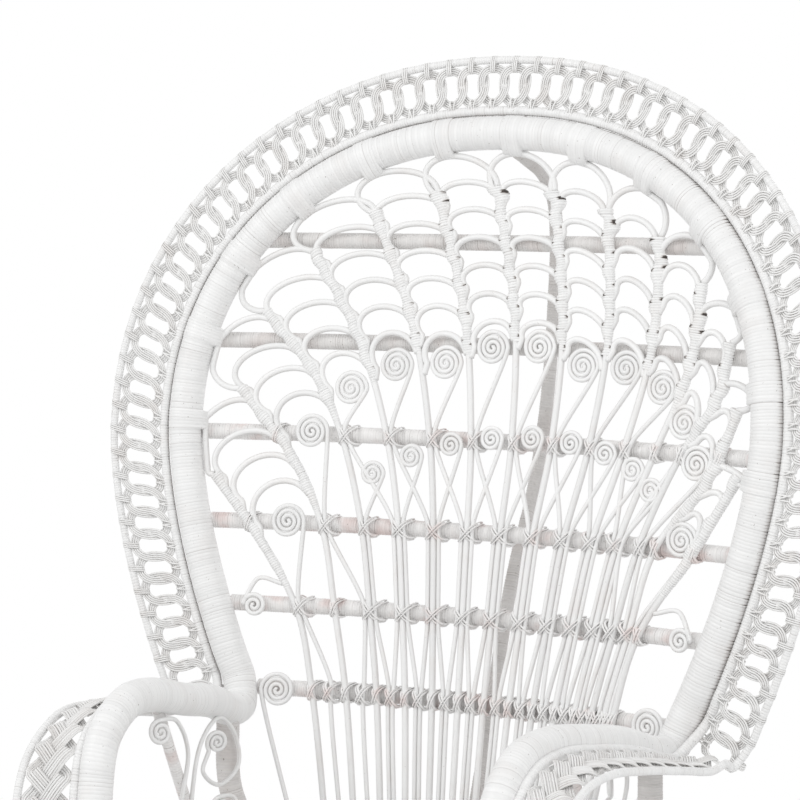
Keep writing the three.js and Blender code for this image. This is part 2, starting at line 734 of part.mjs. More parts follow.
function addBase() {
  const floorLevel = floorRingDiameter / 2;
  const floorRing = (grow) => ringBody(floorHalfWidth, floorHalfDepth, 2, floorLevel,
    floorLevel + grow, floorLevel + grow, poleSides);
  addPiece("floor_ring", floorRing(0));
  const inset = baseRibDiameter / 2;
  const waist = ringBody(waistHalfWidth - inset, waistHalfDepth - inset, 2, waistHeight,
    waistHoopDiameter / 2, waistHoopDiameter / 2, rimSides);
  const ribs = Array.from({ length: baseRibs / 4 }, (_, i) => baseRib(i));
  const hoop = waist.trimByPlane([1, 0, 0], seam / 2).trimByPlane([0, 1, 0], seam / 2);
  const quarter = clear(join([hoop, ...ribs]), floorRing(seam), seatRingBody(seam));
  const back = { right: quarter, left: quarter.mirror([1, 0, 0]) };
  Object.entries(back).forEach(([side, body]) => {
    addPiece(`base_ribs_back_${side}`, body);
    addPiece(`base_ribs_front_${side}`, body.mirror([0, 1, 0]));
  });
  addPiece("waist_band", bandBody(waistBandShares));
  addPiece("seat_apron", bandBody(apronShares));
  addPiece("foot_band", bandBody(footBandShares));
}

// Arms.

const hoopFoot = onBack(new THREE.Vector2(hoopFootHalfWidth, hoopFootHeight));
const rimFoot = onBack(hoopOutline(borderWidth)[hoopOutline(borderWidth).length - 1]);

function armPoint(start, [run, drawIn, rise]) {
  return new THREE.Vector3(start.x - armDrawIn * drawIn, start.y - armRun * run,
    THREE.MathUtils.lerp(seatHeight, armCrestHeight, rise));
}

// The place on the seat ring's axis at a distance forwards or backwards from the middle of the seat.
function seatEdge(y) {
  const room = 1 - Math.pow(Math.min(Math.abs(y) / seatHalfDepth, 1), seatSquareness);
  return new THREE.Vector3(seatHalfWidth * Math.pow(room, 1 / seatSquareness), y, seatHeight);
}

function armFoot() {
  const foot = seatEdge(hoopFoot.y - armRun);
  const steepness = seatSquareness - 1;
  const outward = new THREE.Vector3(Math.pow(foot.x / seatHalfWidth, steepness) / seatHalfWidth,
    Math.sign(foot.y) * Math.pow(Math.abs(foot.y) / seatHalfDepth, steepness) / seatHalfDepth, 0);
  return foot.add(outward.setLength((armDiameter - seatRingDiameter) / 2 + seam));
}

function armCurve() {
  const points = armShares.map((share) => armPoint(hoopFoot, share));
  return new THREE.CatmullRomCurve3([hoopFoot, ...points, armFoot()]);
}

function armRimCurve() {
  return new THREE.CatmullRomCurve3([rimFoot, ...armRimShares.map((share) => armPoint(rimFoot, share))]);
}

function armPole(grow) {
  return pole(armCurve().getSpacedPoints(armSteps), armDiameter + 2 * grow, poleSides, armSteps);
}

function armRim(grow) {
  return pole(armRimCurve().getSpacedPoints(armSteps), rimDiameter + 2 * grow, rimSides, armSteps);
}

function armBand() {
  const axis = armCurve();
  const rim = armRimCurve();
  const edge = axis.getSpacedPoints(armSteps).map((p, i) => {
    const out = rim.getPointAt(i / armSteps).sub(p).normalize();
    return p.addScaledVector(out, flatsAt(armDiameter, poleSides) - flatsAt(rimDiameter, rimSides));
  });
  const inner = new THREE.CatmullRomCurve3(edge);
  const [from, to] = armBandShares;
  return loopedCane(inner, rim, armLoops, from, to, { width: armStrandWidth, loopLength: armLoopLength });
}

function armPost() {
  const [reach, foot] = postShares;
  return pole([seatEdge(seatHalfDepth * foot), armCurve().getPointAt(reach)], postDiameter, poleSides, 1);
}

// Braces stand just outside the scrollwork.
function armBrace([reach, foot]) {
  const outside = (braceDiameter + armScrollStrand) / 2 + seam;
  const ends = [seatEdge(seatHalfDepth * foot), armCurve().getPointAt(reach)];
  ends.forEach((end) => end.setX(end.x + outside));
  return pole(ends, braceDiameter, railSides, 1);
}

// A point of the scrollwork, just inside the sloping plane between the seat ring and the arm above it.
function panelPoint([run, rise]) {
  const y = hoopFoot.y - armRun * run;
  const above = armCurve().getSpacedPoints(200).find((p) => p.y <= y);
  const foot = seatEdge(y);
  return new THREE.Vector3(THREE.MathUtils.lerp(foot.x, above.x, rise) - armScrollStrand, y,
    THREE.MathUtils.lerp(seatHeight, armCrestHeight, rise));
}

function armScroll({ start, wind, shares }) {
  const [centre, ...tail] = shares.map(panelPoint);
  const steps = Math.round(armScrollTurns * coilSteps);
  const coil = Array.from({ length: steps + 1 }, (_, i) => {
    const turn = i / coilSteps;
    const radius = (armScrollDiameter - armScrollStrand) / 2 - turn * armScrollStrand * coilPitchShare;
    const angle = (start + wind * turn) * 2 * Math.PI;
    return new THREE.Vector3(0, radius, 0).applyAxisAngle(sideways, angle).add(centre);
  }).reverse();
  return cornered([...coil, ...tail], armScrollStrand, ribSides);
}

function addArm(side, name) {
  const place = (body) => (side > 0 ? body : body.mirror([1, 0, 0]));
  const ring = seatRingBody(seam);
  const grown = armPole(seam);
  addPiece(`arm_pole_${name}`, place(clear(armPole(0), hoopGrown, ring, seatWeaveBody(seam))));
  addPiece(`arm_rim_${name}`, place(clear(armRim(0), rimBody(borderWidth, seam), ring)));
  addPiece(`arm_band_${name}`, place(clear(armBand(), grown, armRim(seam))));
  addPiece(`arm_post_${name}`, place(clear(armPost(), grown, hoopGrown, ring)));
  braceShares.forEach((shares, i) => {
    addPiece(`arm_brace_${i + 1}_${name}`, place(clear(armBrace(shares), grown, ring)));
  });
  armScrolls.forEach((scroll, i) => {
    addPiece(`arm_scroll_${i + 1}_${name}`, place(clear(armScroll(scroll), grown, ring)));
  });
}

addPiece("back_hoop", hoopBody(0));
addPiece("border_rim_inner", rimBody(innerRimOffset, 0));
addPiece("border_rim_outer", rimBody(borderWidth, 0));
addChain();
addRails();
const seatRingGrown = seatRingBody(seam);
addSpine(seatRingGrown);
addFan(seatRingGrown);
addArm(1, "right");
addArm(-1, "left");
addSeat();
addBase();

// The origin goes under the middle of the whole chair.
const extent = new THREE.Box3().setFromObject(group);
const middle = extent.getCenter(new THREE.Vector3());
group.position.set(-middle.x, -middle.y, -extent.min.z);

export default group;
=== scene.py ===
import math

import bpy
import numpy as np
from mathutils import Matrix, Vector


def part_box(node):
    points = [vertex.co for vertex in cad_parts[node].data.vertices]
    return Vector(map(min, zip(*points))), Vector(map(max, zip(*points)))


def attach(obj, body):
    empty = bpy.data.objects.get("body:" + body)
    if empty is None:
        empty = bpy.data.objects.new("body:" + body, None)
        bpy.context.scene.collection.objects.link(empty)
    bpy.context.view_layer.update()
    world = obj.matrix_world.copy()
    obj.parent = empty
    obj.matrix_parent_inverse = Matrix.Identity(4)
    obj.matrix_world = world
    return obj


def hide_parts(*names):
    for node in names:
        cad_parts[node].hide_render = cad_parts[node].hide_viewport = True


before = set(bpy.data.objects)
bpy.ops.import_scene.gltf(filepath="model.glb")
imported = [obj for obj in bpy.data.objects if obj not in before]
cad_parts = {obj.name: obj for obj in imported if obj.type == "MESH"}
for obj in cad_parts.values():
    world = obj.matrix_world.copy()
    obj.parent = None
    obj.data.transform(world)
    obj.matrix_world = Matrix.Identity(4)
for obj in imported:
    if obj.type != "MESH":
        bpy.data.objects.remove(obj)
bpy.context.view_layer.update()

# The view: a long lens as high as the top of the hoop, off to the right and turned a little down, with
# the middle of the picture on its axis. It takes in only the back and the tops of the arms.
eye = (1.614, -3.0734, 1.367)
view_down = 4.98
view_turn = 28
view = bpy.data.objects.new("view", bpy.data.cameras.new("view"))
view.data.sensor_width = 36
view.data.lens = 130.5
view.location = eye
view.rotation_euler = (math.radians(90 - view_down), 0, math.radians(view_turn))
bpy.context.scene.collection.objects.link(view)
bpy.context.scene.camera = view
bpy.context.scene.view_settings.view_transform = "Standard"


# The stand: a plain pale floor that fades into white a step away from the chair, under soft light.
# The floor keeps the chair's shadow, and the background behind the chair is white.
class Shade:
    """A socket of a material. Sums written with it add Math nodes."""

    def __init__(self, tree, socket=None):
        self.tree = tree
        self.socket = socket

    def node(self, kind, settings, sockets, output=0):
        node = self.tree.nodes.new(kind)
        for name, value in settings.items():
            setattr(node, name, value)
        for key, value in sockets.items():
            if isinstance(value, Shade):
                self.tree.links.new(value.socket, node.inputs[key])
            else:
                node.inputs[key].default_value = value
        return Shade(self.tree, node.outputs[output] if node.outputs else None)

    def sum(self, operation, *values):
        return self.node("ShaderNodeMath", {"operation": operation}, dict(enumerate(values)))

    def __add__(self, other):
        return self.sum("ADD", self, other)

    def __sub__(self, other):
        return self.sum("SUBTRACT", self, other)

    def __rsub__(self, other):
        return self.sum("SUBTRACT", other, self)

    def __mul__(self, other):
        return self.sum("MULTIPLY", self, other)

    def __pow__(self, other):
        return self.sum("POWER", self, other)

    __radd__ = __add__
    __rmul__ = __mul__

    def most(self, other):
        return self.sum("MAXIMUM", self, other)

    def ramp(self, low, high):
        """0 up to low, 1 from high on, and smooth between them."""
        settings = {"interpolation_type": "SMOOTHSTEP"}
        return self.node("ShaderNodeMapRange", settings, {"Value": self, "From Min": low, "From Max": high})

    def blend(self, colour, other):
        """From a colour to another, by this share."""
        settings = {"data_type": "RGBA"}
        return self.node("ShaderNodeMix", settings, {0: self, 6: colour, 7: other}, output=2)


def seen_share(tree):
    """1 for a ray that looks straight, or by a reflection, at the background."""
    rays = Shade(tree)
    looks = [rays.node("ShaderNodeLightPath", {}, {}, output=name)
             for name in ("Is Camera Ray", "Is Glossy Ray", "Is Transmission Ray")]
    return looks[0].most(looks[1]).most(looks[2])


sky_strength = 0.785
pure_white = (1, 1, 1, 1)
floor_reach = 2.6
floor_corners = np.linspace(0, 2 * math.pi, 97)[:-1]
floor_colour, floor_stain = (0.86, 0.86, 0.86, 1), (0.82, 0.82, 0.81, 1)
grain_scale, stain_share = 30.0, 0.3
fade_from, fade_to = 0.75, 1.35

sky = bpy.data.worlds.new("sky")
sky.use_nodes = True
sky.node_tree.nodes.clear()
ray = Shade(sky.node_tree)
lit = ray.node("ShaderNodeBackground", {}, {"Color": pure_white, "Strength": sky_strength})
plain = ray.node("ShaderNodeBackground", {}, {"Color": pure_white, "Strength": 1.0})
mixed = ray.node("ShaderNodeMixShader", {}, {0: seen_share(sky.node_tree), 1: lit, 2: plain})
ray.node("ShaderNodeOutputWorld", {}, {"Surface": mixed})
bpy.context.scene.world = sky

floor_finish = bpy.data.materials.new("pale_floor")
floor_finish.use_nodes = True
floor_finish.node_tree.nodes.clear()
ray = Shade(floor_finish.node_tree)
place = ray.node("ShaderNodeTexCoord", {}, {}, output="Object")
away = ray.node("ShaderNodeVectorMath", {"operation": "LENGTH"}, {0: place}, output="Value")
grain = ray.node("ShaderNodeTexNoise", {}, {"Vector": place, "Scale": grain_scale, "Detail": 3.0})
tone = (grain * stain_share).blend(floor_colour, floor_stain)
matt = ray.node("ShaderNodeBsdfDiffuse", {}, {"Color": tone})
white = ray.node("ShaderNodeEmission", {}, {"Color": pure_white, "Strength": 1.0})
faded = seen_share(floor_finish.node_tree) * away.ramp(fade_from, fade_to)
mixed = ray.node("ShaderNodeMixShader", {}, {0: faded, 1: matt, 2: white})
ray.node("ShaderNodeOutputMaterial", {}, {"Surface": mixed})

floor_mesh = bpy.data.meshes.new("floor")
floor_edge = [(floor_reach * math.cos(a), floor_reach * math.sin(a), 0) for a in floor_corners]
floor_mesh.from_pydata(floor_edge, [], [list(range(len(floor_edge)))])
floor = bpy.data.objects.new("floor", floor_mesh)
floor.data.materials.append(floor_finish)
bpy.context.scene.collection.objects.link(floor)


def add_lamp(name, place, size, power):
    """A soft square lamp that faces the middle of the chair."""
    lamp = bpy.data.objects.new(name, bpy.data.lights.new(name, "AREA"))
    lamp.data.size = size
    lamp.data.energy = power
    lamp.location = place
    lamp.rotation_euler = (Vector(lamp_target) - Vector(place)).to_track_quat("-Z", "Y").to_euler()
    bpy.context.scene.collection.objects.link(lamp)


lamp_target = (0, 0, 0.95)
add_lamp("key_lamp", place=(-2.2, -2.6, 3.0), size=1.5, power=32)
add_lamp("side_lamp", place=(2.4, -2.0, 2.6), size=2.0, power=26)
add_lamp("back_lamp", place=(0.4, 2.8, 2.6), size=2.0, power=10)

# The big hoop and the arms: one thick rattan pole from foot to foot, bent over a former, brought
# forwards under the sitter's hands and bound all the way with flat cane, then painted white.
seat_low, seat_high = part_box("seat_weave")
seat_middle = (seat_low.y + seat_high.y) / 2
seat_height = (seat_low.z + seat_high.z) / 2
seat_half_width, seat_half_depth = 0.270, 0.245
seat_squareness = 3.4
seat_ring_diameter = 0.032
hoop_diameter = 0.043
hoop_top, hoop_wide = 1.385, 1.015
hoop_half_width = 0.403
hoop_roundness = 2.2
hoop_foot, hoop_foot_half_width = 0.668, 0.303
hoop_foot_ease = 1.6
back_lean = 8
back_bow = 0.057
arm_diameter = 0.041
arm_run, arm_draw_in, arm_crest = 0.429, 0.075, 0.703
left_arm_rise = 0.016
rise_from_share, rise_run_share = 0.4, 0.42
arm_shares = [(0.04, 0.05, 0.81), (0.12, 0.13, 0.813), (0.27, 0.31, 0.896), (0.48, 0.47, 0.963),
              (0.67, 0.55, 1), (0.81, 0.59, 0.974), (0.914, 0.6, 0.858), (0.96, 0.63, 0.653),
              (0.99, 0.72, 0.354)]
binding_cane = 0.0042
hoop_steps, span_steps = 60, 12
chance = np.random.default_rng(7)


def lerp(a, b, share):
    return a + (b - a) * share


def hoop_outline(offset):
    """The hoop's axis as seen from the front, from the left foot over the top to the right foot, moved
    outwards by the offset. Columns are x and z."""
    up = np.linspace(1, 0, hoop_steps, endpoint=False)
    x = lerp(hoop_half_width, hoop_foot_half_width, up ** hoop_foot_ease)
    z = lerp(hoop_wide, hoop_foot, up)
    turn = np.linspace(0, math.pi / 2, hoop_steps + 1)
    power = 2 / hoop_roundness
    x = np.append(x, hoop_half_width * np.abs(np.cos(turn)) ** power * (turn < turn[-1]))
    z = np.append(z, hoop_wide + (hoop_top - hoop_wide) * np.sin(turn) ** power)
    left = np.stack([-x[:-1], z[:-1]], 1)
    whole = np.concatenate([left, np.stack([x, z], 1)[::-1]])
    whole = along_line(whole, np.linspace(0, 1, 4 * hoop_steps))
    run = np.gradient(whole, axis=0)
    run /= np.linalg.norm(run, axis=1, keepdims=True)
    return whole + offset * np.stack([-run[:, 1], run[:, 0]], 1)


def lengths(line):
    return np.concatenate([[0], np.cumsum(np.linalg.norm(np.diff(line, axis=0), axis=1))])


def along_line(line, shares):
    """Points at shares of the length of a line."""
    reach = lengths(line)
    place = np.asarray(shares) * reach[-1]
    return np.stack([np.interp(place, reach, line[:, k]) for k in range(line.shape[1])], 1)


def smooth(points, step=0.002):
    """A soft curve through points, cut to even steps."""
    p = np.asarray(points, float)
    p = p[np.append(True, np.linalg.norm(np.diff(p, axis=0), axis=1) > 1e-6)]
    p = np.concatenate([[2 * p[0] - p[1]], p, [2 * p[-1] - p[-2]]])
    knots = np.concatenate([[0], np.cumsum(np.linalg.norm(np.diff(p, axis=0), axis=1) ** 0.5)])
    pieces = []
    for i in range(1, len(p) - 2):
        t0, t1, t2, t3 = knots[i - 1:i + 3]
        t = np.linspace(t1, t2, span_steps, endpoint=i == len(p) - 3)[:, None]
        a = (t1 - t) / (t1 - t0) * p[i - 1] + (t - t0) / (t1 - t0) * p[i]
        b = (t2 - t) / (t2 - t1) * p[i] + (t - t1) / (t2 - t1) * p[i + 1]
        c = (t3 - t) / (t3 - t2) * p[i + 1] + (t - t2) / (t3 - t2) * p[i + 2]
        a = (t2 - t) / (t2 - t0) * a + (t - t0) / (t2 - t0) * b
        b = (t3 - t) / (t3 - t1) * b + (t - t1) / (t3 - t1) * c
        pieces.append((t2 - t) / (t2 - t1) * a + (t - t1) / (t2 - t1) * b)
    line = np.concatenate(pieces)
    return along_line(line, np.linspace(0, 1, max(3, round(lengths(line)[-1] / step) + 1)))


def on_back(flat, behind=0.0):
    """Puts front-view points on the leaning, bowed surface of the back."""
    flat = np.asarray(flat, float)
    rise = flat[:, 1] - seat_height
    y = seat_middle + seat_half_depth + rise * math.tan(math.radians(back_lean))
    y = y - back_bow * (flat[:, 0] / hoop_half_width) ** 2 + behind
    return np.stack([flat[:, 0], y, flat[:, 1]], 1)


def mirrored(points):
    return np.asarray(points) * [-1, 1, 1]


def unit(v):
    return v / np.maximum(np.linalg.norm(v, axis=-1, keepdims=True), 1e-12)


hoop_line = on_back(hoop_outline(0))
hoop_feet = hoop_line[-1]


def transport(line, first=None):
    """Tangents and two cross directions that turn with a line and don't twist about it."""
    tangent = unit(np.gradient(line, axis=0))
    if first is None:
        first = (0, -1, 0) if abs(tangent[0][1]) < 0.8 else (1, 0, 0)
    side = np.asarray(first, float)
    sides = np.empty_like(tangent)
    for i, t in enumerate(tangent):
        side = side - t * (side @ t)
        side = side / math.sqrt(side @ side)
        sides[i] = side
    return tangent, sides, np.cross(tangent, sides)


def hand_bent(points):
    """The arms are bent by hand, and the left one comes out higher at its front than the right one."""
    forward = np.clip((hoop_feet[1] - points[:, 1]) / arm_run, 0, 1)
    above = points[:, 2] - seat_height - arm_diameter
    above = np.clip(above / (arm_crest - seat_height - arm_diameter), 0, 1)
    rise = np.where(points[:, 0] < 0, left_arm_rise, 0) * (np.abs(points[:, 0]) > seat_half_width / 2)
    forward = np.clip((forward - rise_from_share) / rise_run_share, 0, 1)
    points[:, 2] += rise * forward ** 2 * (3 - 2 * forward) * above
    return points


# Painted shade along the sides of a cane where its neighbours touch it.
side_painted_shade = 0.75
turn_spots, turn_sinks = [0.0, 0.2, 0.5, 0.8], [1.0, 0.14, 0.0, 0.14]
turn_unevenness, turn_proudness = 0.2, 0.24
turn_drift, drift_span, lean_range = 0.016, 9, 6.3
# The joints between turns are darkened: partly dirt, partly painted shade in the gaps.
joint_dirt_and_shade, more_joint_dirt_and_shade, dark_joint_rarity = 0.4, 0.75, 5


class Form:
    """The mesh of one piece: rings of points joined by faces, each with its groove, darkened by grime and
    painted shade, and its tint of cane.
    """

    def __init__(self):
        self.points, self.faces, self.groove, self.tint, self.count = [], [], [], [], 0

    def rings(self, rings, groove=0.0, tint=None, closed=False):
        """Skins a stack of rings of points, round into a loop or with a cap at each end."""
        n, k = rings.shape[:2]
        groove = np.broadcast_to(groove, (n, k))
        tint = np.full(n, chance.random()) if tint is None else tint
        start = self.count + np.arange(n if closed else n - 1)[:, None] * k
        after = np.roll(start, -1, axis=0) if closed else start + k
        j, m = np.arange(k), (np.arange(k) + 1) % k
        self.faces.append(np.stack([start + j, start + m, after + m, after + j], 2).reshape(-1, 4))
        points, grooves, tints = rings.reshape(-1, 3), groove.ravel(), np.repeat(tint, k)
        if not closed:
            first, last = self.count + n * k, self.count + (n - 1) * k
            self.faces.append(np.stack([self.count + m, self.count + j, np.full(k, first)], 1))
            self.faces.append(np.stack([last + j, last + m, np.full(k, first + 1)], 1))
            points = np.concatenate([points, rings[0].mean(0)[None], rings[-1].mean(0)[None]])
            grooves = np.concatenate([grooves, groove[[0, -1], 0]])
            tints = np.concatenate([tints, tint[[0, -1]]])
        self.points.append(points)
        self.groove.append(grooves)
        self.tint.append(tints)
        self.count += len(points)

    def strand(self, line, diameter, sides=6, width=None, first=None, closed=False):
        """A round or flat cane along a line, with painted shade along the two sides that others touch."""
        line = np.asarray(line, float)
        if closed:
            line = np.concatenate([line[-1:], line, line[:1]])
        _, side, other = transport(line, first)
        if closed:
            line, side, other = line[1:-1], side[1:-1], other[1:-1]
        angle = np.arange(sides) * 2 * math.pi / sides + math.pi / sides
        across = (width or diameter) / 2
        ring = side[:, None] * np.cos(angle)[:, None] * diameter / 2
        ring = ring + other[:, None] * np.sin(angle)[:, None] * across
        self.rings(line[:, None] + ring, groove=side_painted_shade * np.sin(angle) ** 2, closed=closed)

    def wound(self, line, diameter, cane, sides=14, depth=0.0005, swell=None, shadow=None):
        """A pole bound with flat cane: every turn is a low ridge, and turns lie a little askew. Swell adds
        to the radius, and shadow adds painted shade in the seams and hollows where the pole lies."""
        reach = lengths(line)[-1]
        count = max(2, round(reach / cane))
        width = 1 + turn_unevenness * chance.uniform(-1, 1, count)
        edge = np.concatenate([[0], np.cumsum(width)]) * reach / width.sum()
        turn = np.repeat(np.arange(count), 4)
        spot = np.tile(turn_spots, count)
        low = np.tile(turn_sinks, count)
        place = np.append(edge[turn] + spot * np.diff(edge)[turn], reach)
        turn, low = np.append(turn, count - 1), np.append(low, 1.0)
        at = along_line(line, place / reach)
        tangent, side, other = transport(at)
        proud = chance.uniform(-turn_proudness, turn_proudness, count)[turn] * depth
        radius = diameter / 2 - depth * low + proud
        angle = np.arange(sides) * 2 * math.pi / sides
        out = side[:, None] * np.cos(angle)[:, None] + other[:, None] * np.sin(angle)[:, None]
        size = np.repeat(radius[:, None], sides, 1)
        if swell is not None:
            size = size + swell(place, at, out)
        drift = chance.normal(0, 1, count + drift_span - 1)
        drift = np.convolve(drift, np.ones(drift_span) / math.sqrt(drift_span), "valid")[turn] * turn_drift
        lean = np.cos(angle[None] - chance.uniform(0, lean_range)) * drift[:, None] * size
        rings = at[:, None] + out * size[:, :, None] + tangent[:, None] * lean[:, :, None]
        # Dark joint lines between turns, partly dirt and partly painted shade.
        open_joint = joint_dirt_and_shade + more_joint_dirt_and_shade * chance.random(count) ** dark_joint_rarity
        groove = np.where(low == 1, open_joint[turn], 0.0)[:, None]
        if shadow is not None:
            groove = groove + shadow(place, at, out)
        self.rings(rings, groove=groove, tint=chance.random(count)[turn])

    def piece(self, name, finish, slot, *nodes):
        """Makes the piece, which stands for the nodes."""
        mesh = bpy.data.meshes.new(name)
        points = hand_bent(np.concatenate(self.points))
        loops = np.concatenate([f.ravel() for f in self.faces])
        sizes = np.concatenate([np.full(len(f), f.shape[1]) for f in self.faces])
        mesh.vertices.add(len(points))
        mesh.vertices.foreach_set("co", points.ravel())
        mesh.loops.add(len(loops))
        mesh.loops.foreach_set("vertex_index", loops.astype(np.int32))
        mesh.polygons.add(len(sizes))
        starts = np.concatenate([[0], np.cumsum(sizes)[:-1]])
        mesh.polygons.foreach_set("loop_start", starts.astype(np.int32))
        mesh.polygons.foreach_set("use_smooth", np.ones(len(sizes), bool))
        for label, values in (("groove", self.groove), ("tint", self.tint)):
            mesh.attributes.new(label, "FLOAT", "POINT").data.foreach_set("value", np.concatenate(values))
        mesh.update(calc_edges=True)
        mesh.validate()
        mesh.materials.append(finish)
        made = bpy.data.objects.new(name, mesh)
        bpy.context.scene.collection.objects.link(made)
        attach(made, "root")
        if nodes:
            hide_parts(*nodes)
        return made


patch_scale, fibre_scale, speck_scale = 26.0, 900.0, 330.0
# The dark joint colour is partly dirt and partly painted shade; the near-black colour is painted shade in
# the deepest seams and hollows.
dirt_and_shade, hollow, bare_cane = (0.33, 0.295, 0.272, 1), (0.06, 0.05, 0.045, 1), (0.22, 0.19, 0.16, 1)
joint_sharpness, joint_least = 2.4, 0.35
pit_edges, blush_edges, hollow_edges = (0.735, 0.775), (0.48, 0.74), (1.2, 1.5)
blush_share, dullest, tint_share, fibre_share = 0.62, 0.955, 0.06, 0.03
fibre_height, patch_height, groove_sink, pit_sink = 0.25, 0.3, 0.8, 0.8
relief_strength, relief_height = 0.35, 0.0006
patch_roughness, joint_roughness, paint_gloss = 0.16, 0.2, 0.42


def painted_cane(name, paint, recess, line_share, speck_share, roughness):
    """Brushed white paint on cane: dark joints of grime and painted shade, near-black painted shade in the
    deepest hollows, blushed patches, fibre and small bare pits.
    """
    finish = bpy.data.materials.new(name)
    finish.use_nodes = True
    finish.node_tree.nodes.clear()
    cane = Shade(finish.node_tree)
    place = cane.node("ShaderNodeTexCoord", {}, {}, output="Object")
    groove = cane.node("ShaderNodeAttribute", {"attribute_name": "groove"}, {}, output="Fac")
    tint = cane.node("ShaderNodeAttribute", {"attribute_name": "tint"}, {}, output="Fac")
    patch = cane.node("ShaderNodeTexNoise", {}, {"Vector": place, "Scale": patch_scale, "Detail": 4.0})
    fibre = cane.node("ShaderNodeTexNoise", {}, {"Vector": place, "Scale": fibre_scale, "Detail": 3.0})
    speck = cane.node("ShaderNodeTexNoise", {}, {"Vector": place, "Scale": speck_scale, "Detail": 1.0})
    joint = (groove ** joint_sharpness) * (joint_least + patch) * line_share
    pit = speck.ramp(*pit_edges) * speck_share
    blush = patch.ramp(*blush_edges) * blush_share
    shade = dullest + tint * tint_share - fibre * fibre_share
    tone = blush.blend(paint, recess)
    tone = cane.node("ShaderNodeVectorMath", {"operation": "SCALE"}, {0: tone, "Scale": shade})
    tone = joint.blend(tone, dirt_and_shade)
    tone = groove.ramp(*hollow_edges).blend(tone, hollow)
    tone = pit.blend(tone, bare_cane)
    height = fibre * fibre_height + patch * patch_height - groove * groove_sink - pit * pit_sink
    relief = cane.node("ShaderNodeBump", {}, {
        "Strength": relief_strength, "Distance": relief_height, "Height": height})
    surface = cane.node("ShaderNodeBsdfPrincipled", {}, {
        "Base Color": tone, "Normal": relief, "Specular IOR Level": paint_gloss,
        "Roughness": roughness + patch * patch_roughness + joint * joint_roughness})
    cane.node("ShaderNodeOutputMaterial", {}, {"Surface": surface})
    return finish


wrapped_paint = painted_cane(
    "wrapped_cane_paint", paint=(0.865, 0.865, 0.862, 1), recess=(0.83, 0.815, 0.805, 1),
    line_share=0.6, speck_share=0.5, roughness=0.34)


def arm_point(start, share):
    """A point of an arm, by its shares of the run forwards, the draw inwards and the rise."""
    run, draw_in, rise = share
    return [start[0] - arm_draw_in * draw_in, start[1] - arm_run * run, lerp(seat_height, arm_crest, rise)]


def seat_edge(y):
    """The point on the right of the seat ring's axis that lies y behind the seat's middle."""
    room = 1 - min(abs(y) / seat_half_depth, 1) ** seat_squareness
    return np.array([seat_half_width * room ** (1 / seat_squareness), seat_middle + y, seat_height])


def arm_foot():
    """Where an arm pole's axis ends, on the outer face of the seat ring."""
    foot = seat_edge(hoop_feet[1] - arm_run - seat_middle)
    steep = seat_squareness - 1
    y = foot[1] - seat_middle
    outward = unit(np.array([(foot[0] / seat_half_width) ** steep / seat_half_width,
                             math.copysign((abs(y) / seat_half_depth) ** steep / seat_half_depth, y), 0]))
    return foot + outward * (arm_diameter - seat_ring_diameter) / 2


arm_line = smooth([hoop_feet, *[arm_point(hoop_feet, share) for share in arm_shares], arm_foot()])


def foot_to_foot(back, arm):
    """One line up the left arm, round the back and down the right arm."""
    return smooth(np.concatenate([mirrored(arm[::-1])[:-8:6], back[2:-2:4], arm[8::6]]))


crown_lead, crown_turn = 3, 15.5
first_column = -6
arch_counts = [4, 4, 5, 6, 7, 7, 7, 7, 6, 5, 4, 3, 3]
arch_strand = 0.0082
binding_reach, binding_edge = 0.0135, 0.0012
binding_rise, binding_facing, arch_sink = 0.0012, 7, 0.001
slim_from, slim_run = 0.01, 0.16
seam_shade, seam_from, seam_run = 0.85, 0.9, 0.08
back_centre = np.array([0, hoop_wide])


def outline_at(outline, degrees):
    """The point of an outline in a direction from the middle of the back, counted from straight up."""
    ray = outline - back_centre
    angle = np.degrees(np.arctan2(ray[:, 0], ray[:, 1]))
    return np.array([np.interp(degrees, angle, outline[:, k]) for k in range(2)])


arch_outline = hoop_outline(-(hoop_diameter + arch_strand) / 2)
columns = range(first_column, first_column + len(arch_counts))
holds = {index: outline_at(arch_outline, crown_lead + crown_turn * index) for index in columns}


def near_hoop(at):
    """For each point, the nearest place of the hoop's axis and the way outwards there."""
    axis, beyond = on_back(hoop_outline(0)), on_back(hoop_outline(hoop_diameter))
    near = np.array([np.linalg.norm(axis - p, axis=1).argmin() for p in at])
    return axis[near], unit(beyond - axis)[near]


def hoop_swell(place, at, out):
    """The arms are slimmer than the hoop, and the binding runs over each arch's crown as well."""
    size = np.zeros(out.shape[:2])
    axis = on_back(hoop_outline(0))
    slim = np.clip((hoop_feet[1] - slim_from - at[:, 1]) / slim_run, 0, 1)[:, None]
    size -= slim * (hoop_diameter - arm_diameter) / 2
    for hold in on_back(np.array(list(holds.values()))):
        near = np.linalg.norm(axis - hold, axis=1).argmin()
        gap = np.linalg.norm(at - axis[near], axis=1)
        over = np.clip((binding_reach - gap) / binding_edge, 0, 1)[:, None]
        inward = unit(hold - axis[near])
        crown = np.clip(out @ inward, 0, 1) ** binding_facing
        size += over * (binding_rise + (arch_strand - arch_sink) * crown)
    return size


def painted_seam_shade(at, out, way):
    """Painted shade in the seam between the hoop and the rim tied to it."""
    axis, outward = near_hoop(at)
    beside = np.linalg.norm(at - axis, axis=1) < hoop_diameter
    facing = np.einsum("nkc,nc->nk", out, way * outward)
    return beside[:, None] * seam_shade * np.clip((facing - seam_from) / seam_run, 0, 1)


hoop = Form()
hoop.wound(foot_to_foot(hoop_line, arm_line), hoop_diameter, binding_cane, sides=28, depth=0.00042,
           swell=hoop_swell, shadow=lambda place, at, out: painted_seam_shade(at, out, 1))
hoop.piece("hoop_and_arm_poles", wrapped_paint, "wrapped_poles",
           "back_hoop", "arm_pole_right", "arm_pole_left")

